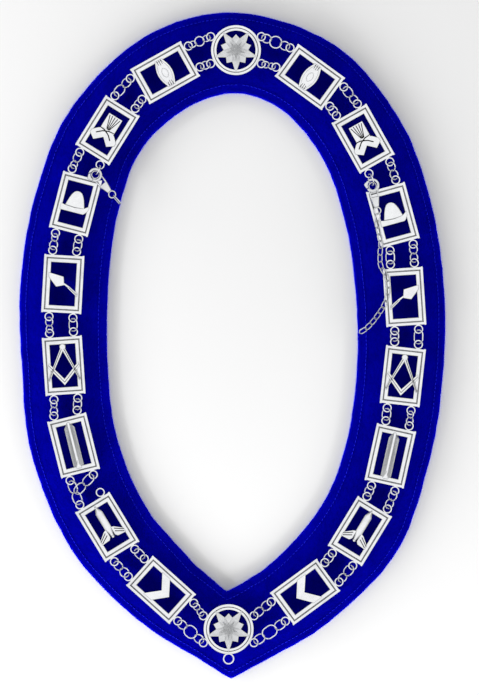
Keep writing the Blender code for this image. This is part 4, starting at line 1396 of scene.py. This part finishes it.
@dataclass
class Clasp:
    """A parrot clasp: hook and shank in one, a sprung lever, and its tail eye."""

    rings: Rings
    silver: bpy.types.Material
    side: Side
    axis: float
    head_radius: float = 4.4 * MM
    arc_width: float = 1.8 * MM
    thickness: float = 1.5 * MM
    length: float = 17.0 * MM
    shoulder: float = 6.2 * MM
    eye_radius: float = 2.6 * MM
    eye_wire: float = 1.0 * MM
    pivot_angle: float = math.radians(100)
    lever_reach: float = 5.0 * MM
    lever_tab: float = 1.3 * MM
    gap: float = 0.3 * MM
    height: float = 7.65 * MM
    hook_edge: float = 0.4 * MM
    arc_steps: int = 18
    notch: float = 8.8 * MM
    prong_root: tuple[float, float] = (0.62, 0.86)
    prong_thickness: float = 0.25 * MM
    prong_overlap: float = 0.6 * MM
    prong_spread: float = 1.08
    prong_end: float = 1.15 * MM
    tab_steps: float = 2.2
    shank_edge: float = 1.15 * MM
    shank_steps: int = 6

    def stand(self) -> Matrix:
        """Give the clasp's matrix: its head round the hooked ring's middle, tail along the axis."""
        start = self.rings.eye_point(f"plaque_{self.side.value}_2", "down_inner")
        end = self.rings.eye_point(f"plaque_{self.side.value}_3", "up_inner")
        head = (start + end) / 2 + (end - start).normalized() * self.head_radius
        head.z = self.height
        return Matrix.Translation(head) @ Matrix.Rotation(math.radians(self.axis) + math.pi, 4, "Z")

    def radii(self) -> tuple[float, float]:
        """Give the inner and outer radius of the head."""
        return self.head_radius - self.arc_width / 2, self.head_radius + self.arc_width / 2

    def arc(self, radius: float, first: float, last: float) -> Plan:
        """List points along an arc."""
        steps = max(4, round(abs(last - first) / math.pi * self.arc_steps))
        angles = [first + (last - first) * step / steps for step in range(steps + 1)]
        return [(radius * math.cos(angle), radius * math.sin(angle)) for angle in angles]

    def reach_angle(self, radius: float, reach: float) -> float:
        """Give the angle on an arc at which it lies at a reach from the pivot."""
        cosine = (radius ** 2 + self.head_radius ** 2 - reach ** 2) / (2 * radius * self.head_radius)
        return self.pivot_angle - math.acos(cosine)

    def head_profile(self) -> Plan:
        """Give the section of the hook and the lever."""
        half, edge = self.thickness / 2, self.hook_edge
        return eased(-half, half, edge, edge, edge)

    def pivot(self) -> Vector:
        """Give the lever's pivot in the clasp's frame."""
        return plan_direction(self.pivot_angle) * self.head_radius

    def body_mesh(self) -> bpy.types.Mesh:
        """Make the hook, two prongs round an open notch, the rounded shank and the tail eye."""
        bench = Bench()
        inner, outer = self.radii()
        half = self.thickness / 2
        foot = self.pivot_angle + (self.arc_width / 2 + self.gap) / self.head_radius - 2 * math.pi
        tips = [self.reach_angle(radius, self.lever_reach + self.gap) for radius in (inner, outer)]
        hook = self.arc(outer, foot, tips[1]) + self.arc(inner, foot, tips[0])[::-1]
        bench.relief(hook, self.head_profile())
        for sign in (-1, 1):
            back, across = self.prong_root
            end = -self.notch - self.prong_overlap
            prong = [(-inner * back, sign * inner * across),
                     (-inner * back, sign * (inner + self.prong_thickness)),
                     (end, sign * self.shoulder / 2 * self.prong_spread),
                     (end, sign * (self.shoulder / 2 - self.prong_end))]
            bench.relief(prong, eased(0.1 * MM - half, half + 0.1 * MM, 0.3 * MM, 0.3 * MM, 0.4 * MM))
        rows = [(-self.notch, 1.1), (-self.notch - 1.4 * MM, 1.1), (-0.75 * self.length, 0.9),
                (-self.length, 0.6)]
        sides = [(x, self.shoulder / 2 * share) for x, share in rows]
        shank = sides + [(x, -y) for x, y in reversed(sides)]
        bench.relief(shank, eased(0.1 * MM - half, half + 0.4 * MM, 0.5 * MM, 0.4 * MM, self.shank_edge,
                                  self.shank_steps))
        tail = Matrix.Translation((-self.length - self.eye_radius, 0, 0))
        wire_ring(bench, tail, self.eye_radius, self.eye_wire)
        return bench.mesh("clasp_body", [self.silver], 40.0)

    def lever_mesh(self) -> bpy.types.Mesh:
        """Make the lever about its pivot: the arc that closes the hook, with a thumb tab."""
        inner, outer = self.radii()
        starts = [self.reach_angle(radius, self.lever_reach) for radius in (inner, outer)]
        outside = self.arc(outer, starts[1], self.pivot_angle)
        inside = self.arc(inner, starts[0], self.pivot_angle)
        count = len(outside)
        swollen = []
        for i, (x, y) in enumerate(outside):
            swell = 1 + self.lever_tab / outer * max(0.0, 1 - abs(i - count / 2) / self.tab_steps)
            swollen.append((x * swell, y * swell))
        pivot = self.pivot()
        foot = [pivot + plan_direction(self.pivot_angle + math.pi * step / 8) * (self.arc_width / 2)
                for step in range(1, 8)]
        outline = swollen + [(point.x, point.y) for point in foot] + inside[::-1]
        bench = Bench()
        bench.relief([(x - pivot.x, y - pivot.y) for x, y in outline], self.head_profile())
        return bench.mesh("clasp_lever", [self.silver], 40.0)

    def build(self) -> Vector:
        """Build the clasp and its lever.

        Returns:
            The middle of the tail eye.
        """
        side, stand = self.side.value, self.stand()
        add_piece("parrot_clasp_" + side, self.body_mesh(), "root", ["clasp_" + side], stand)
        add_piece("spring_lever_" + side, self.lever_mesh(), "lever_" + side,
                  ["clasp_lever_" + side], stand @ Matrix.Translation(self.pivot()))
        LOG.info("%s clasp", side)
        return stand @ Vector((-self.length - self.eye_radius, 0, 0))


@dataclass
class SafetyChain:
    """What is left of the safety chain at both clasps."""

    silver: bpy.types.Material
    wire: float = 0.9 * MM
    last_length: float = 8.5 * MM
    last_width: float = 3.2 * MM
    tube: float = 3.2 * MM
    link_length: float = 7.0 * MM
    link_width: float = 4.5 * MM
    link_wire: float = 0.8 * MM
    link_roll: float = math.radians(32)
    link_play: float = 0.15 * MM
    link_steps: int = 20
    route_steps: int = 12
    gap: float = 0.3 * MM
    velvet_top: float = 2.6 * MM
    plaque_top: float = 6.1 * MM
    # Route in millimetres from the tail of the clasp, and its level: 1 on the plaques, 0 on the velvet
    route: tuple = ((0.8, -2.4, 1), (-0.2, -9.0, 1), (1.2, -17.0, 1), (2.6, -25.5, 1), (2.0, -33.0, 1),
                    (2.6, -42.0, 1), (7.0, -50.0, 1), (8.2, -58.0, 1), (7.2, -66.0, 1), (4.4, -73.0, 1),
                    (0.5, -79.0, 0.5), (-3.6, -84.5, 0), (-8.6, -89.5, 0), (-13.5, -92.5, 0),
                    (-20.0, -95.0, 0))

    def build_left(self, tail: Vector, axis: float, rings: Rings) -> None:
        """Build the left end: one long oval link through the clasp's tail eye.

        Args:
            tail: The middle of the clasp's tail eye.
            axis: The way it runs, in degrees.
            rings: The rings, for their steeper roll.
        """
        direction = plan_direction(math.radians(axis))
        pitch = (Clasp.eye_wire + self.wire) / 2 + self.gap
        middle = tail + direction * (Clasp.eye_radius - pitch + self.last_length / 2)
        bench = Bench()
        link = JumpRing(middle, direction, 0, rings.hooked_roll, 0).stand()
        wire_ring(bench, link, self.last_width / 2, self.wire, self.last_length - self.last_width)
        add_piece("safety_chain_end_left", bench.mesh("chain_end", [self.silver]), "root",
                  ["safety_chain_left"])
        LOG.info("left safety chain")

    def build_right(self, tail: Vector) -> None:
        """Build the right chain: oval links along the route, rolled to either side in turn."""
        lift = self.gap + self.tube / 2
        points = [Vector((tail.x + x * MM, tail.y + y * MM,
                          self.velvet_top + lift + level * (self.plaque_top - self.velvet_top)))
                  for x, y, level in self.route]
        line = smooth_path(points, self.route_steps)
        bench = Bench()
        radius = (self.link_width - self.link_wire) / 2
        pitch = self.link_length - 2 * self.link_wire - self.link_play
        stations = spaced(line, pitch / 2)
        for index, i in enumerate(range(1, len(stations) - 3, 2)):
            along = (stations[i + 1] - stations[i - 1]).normalized()
            side = Vector((0, 0, 1)).cross(along).normalized()
            up = along.cross(side)
            spin = Matrix((along, side, up)).transposed().to_4x4()
            roll = self.link_roll * (1 if index % 2 else -1)
            stand = Matrix.Translation(stations[i]) @ spin @ Matrix.Rotation(roll, 4, "X")
            wire_ring(bench, stand, radius, self.link_wire, self.link_length - self.link_width,
                      steps=self.link_steps)
        add_piece("safety_chain_links_right", bench.mesh("chain_links", [self.silver]), "root",
                  ["safety_chain_right"])
        LOG.info("right safety chain of %d links", len(stations) // 2)


@dataclass(frozen=True)
class Lamp:
    """One soft box: where it stands as seen from the collar, its size and power."""

    name: str
    azimuth: float
    watts: float
    elevation: float = 9.0
    distance: float = 1.35
    width: float = 1.2
    height: float = 0.20


LAMPS = [
    Lamp("strip_left", 180, 15.7),
    Lamp("strip_near_left", 225, 28.5),
    Lamp("strip_near", 270, 18.5),
    Lamp("strip_near_right", 315, 10.9),
    Lamp("strip_right", 0, 9.8),
    Lamp("strip_far_right", 45, 4.2),
    Lamp("strip_far", 90, 5.0),
    Lamp("strip_far_left", 135, 10.4),
]


@dataclass
class Studio:
    """Plain white table, soft lights and the camera straight above."""

    middle: tuple[float, float] = (5.4 * MM, -1.5 * MM)
    view_height: float = 528 * MM
    distance: float = 3.4
    focus: float = 6 * MM
    sensor: float = 36.0
    clip_end: float = 50.0
    table_size: float = 6.0
    table_thickness: float = 0.02
    fill: float = 0.225
    dome: float = 1.02
    horizon: float = 0.28
    dome_edge: tuple[float, float] = (0.1, 0.72)

    def add_camera(self) -> None:
        """Make the camera: the photograph's frame, looking straight down."""
        data = bpy.data.cameras.new("camera")
        data.sensor_width = self.sensor
        data.lens = self.sensor * (self.distance - self.focus) / self.view_height
        data.clip_end = self.clip_end
        camera = linked("camera", data)
        camera.location = (*self.middle, self.distance)
        bpy.context.scene.camera = camera

    def add_table(self) -> None:
        """Make the table top as a thin slab under the collar."""
        half = self.table_size / 2
        bench = Bench()
        corners = [(-half, -half), (half, -half), (half, half), (-half, half)]
        bench.skin([[Vector((x, y, z)) for x, y in corners] for z in (-self.table_thickness, 0.0)], caps=True)
        linked("table", bench.mesh("table", [FloorFinish().material()]))

    def add_sky(self) -> None:
        """Make the surroundings: a white dome for the silver to mirror, and a low even fill."""
        world = bpy.data.worlds.new("studio")
        world.use_nodes = True
        nodes = Nodes(world.node_tree)
        direction = nodes.node("ShaderNodeTexCoord", output="Generated")
        upward = nodes.node("ShaderNodeSeparateXYZ", inputs={0: direction}, output="Z")
        low, high = self.dome_edge
        ramp = nodes.node("ShaderNodeMapRange", {"interpolation_type": "SMOOTHSTEP"},
                          {"Value": upward, "From Min": low, "From Max": high,
                           "To Min": self.horizon, "To Max": self.dome})
        reflected = nodes.node("ShaderNodeLightPath", output="Is Glossy Ray")
        strength = nodes.node("ShaderNodeMix", inputs={"Factor": reflected, "A": self.fill, "B": ramp},
                              output="Result")
        sockets = nodes.tree.nodes["Background"].inputs
        nodes.feed(sockets["Color"], (1.0, 1.0, 1.0))
        nodes.feed(sockets["Strength"], strength)
        bpy.context.scene.world = world

    def add_lamps(self) -> None:
        """Place the soft boxes, each facing the collar."""
        for lamp in LAMPS:
            data = bpy.data.lights.new(lamp.name, "AREA")
            data.shape = "RECTANGLE"
            data.size, data.size_y, data.energy = lamp.width, lamp.height, lamp.watts
            item = linked(lamp.name, data)
            elevation = math.radians(lamp.elevation)
            away = plan_direction(math.radians(lamp.azimuth)) * math.cos(elevation)
            away.z = math.sin(elevation)
            item.location = away * lamp.distance
            item.visible_glossy = False
            item.rotation_mode = "QUATERNION"
            item.rotation_quaternion = away.to_track_quat("Z", "Y")

    def build(self) -> None:
        """Set up the studio."""
        self.add_camera()
        self.add_table()
        self.add_sky()
        self.add_lamps()
        bpy.context.scene.view_settings.view_transform = "Standard"
        LOG.info("studio with %d lamps", len(LAMPS))


def main() -> None:
    """Build every sub-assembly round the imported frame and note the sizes."""
    logging.basicConfig(level=logging.INFO)
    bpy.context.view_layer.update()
    Studio().build()
    layout = Layout()
    silver = SilverFinish().material()
    clasp_silver = SilverFinish(name="clasp_silver", bright=(0.82, 0.83, 0.84), worn=(0.50, 0.51, 0.53),
                                skin_depth=0.35 * MM).material()
    star_silver = SilverFinish(name="star_silver", bright=(0.80, 0.81, 0.82), worn=(0.50, 0.51, 0.53),
                               skin_size=0.9 * MM, skin_depth=0.5 * MM, polish=0.2).material()
    VelvetBand(layout).build()
    Plaques(layout, silver).build()
    for name in ("medallion_top", "medallion_bottom"):
        Medallion(layout, name, silver, star_silver).build()
    rings = Rings(layout, silver)
    rings.build()
    left = Clasp(rings, clasp_silver, Side.LEFT, -49.0)
    chain = SafetyChain(clasp_silver)
    chain.build_left(left.build(), left.axis, rings)
    chain.build_right(Clasp(rings, clasp_silver, Side.RIGHT, -79.0).build())


if __name__ == "__main__":
    main()
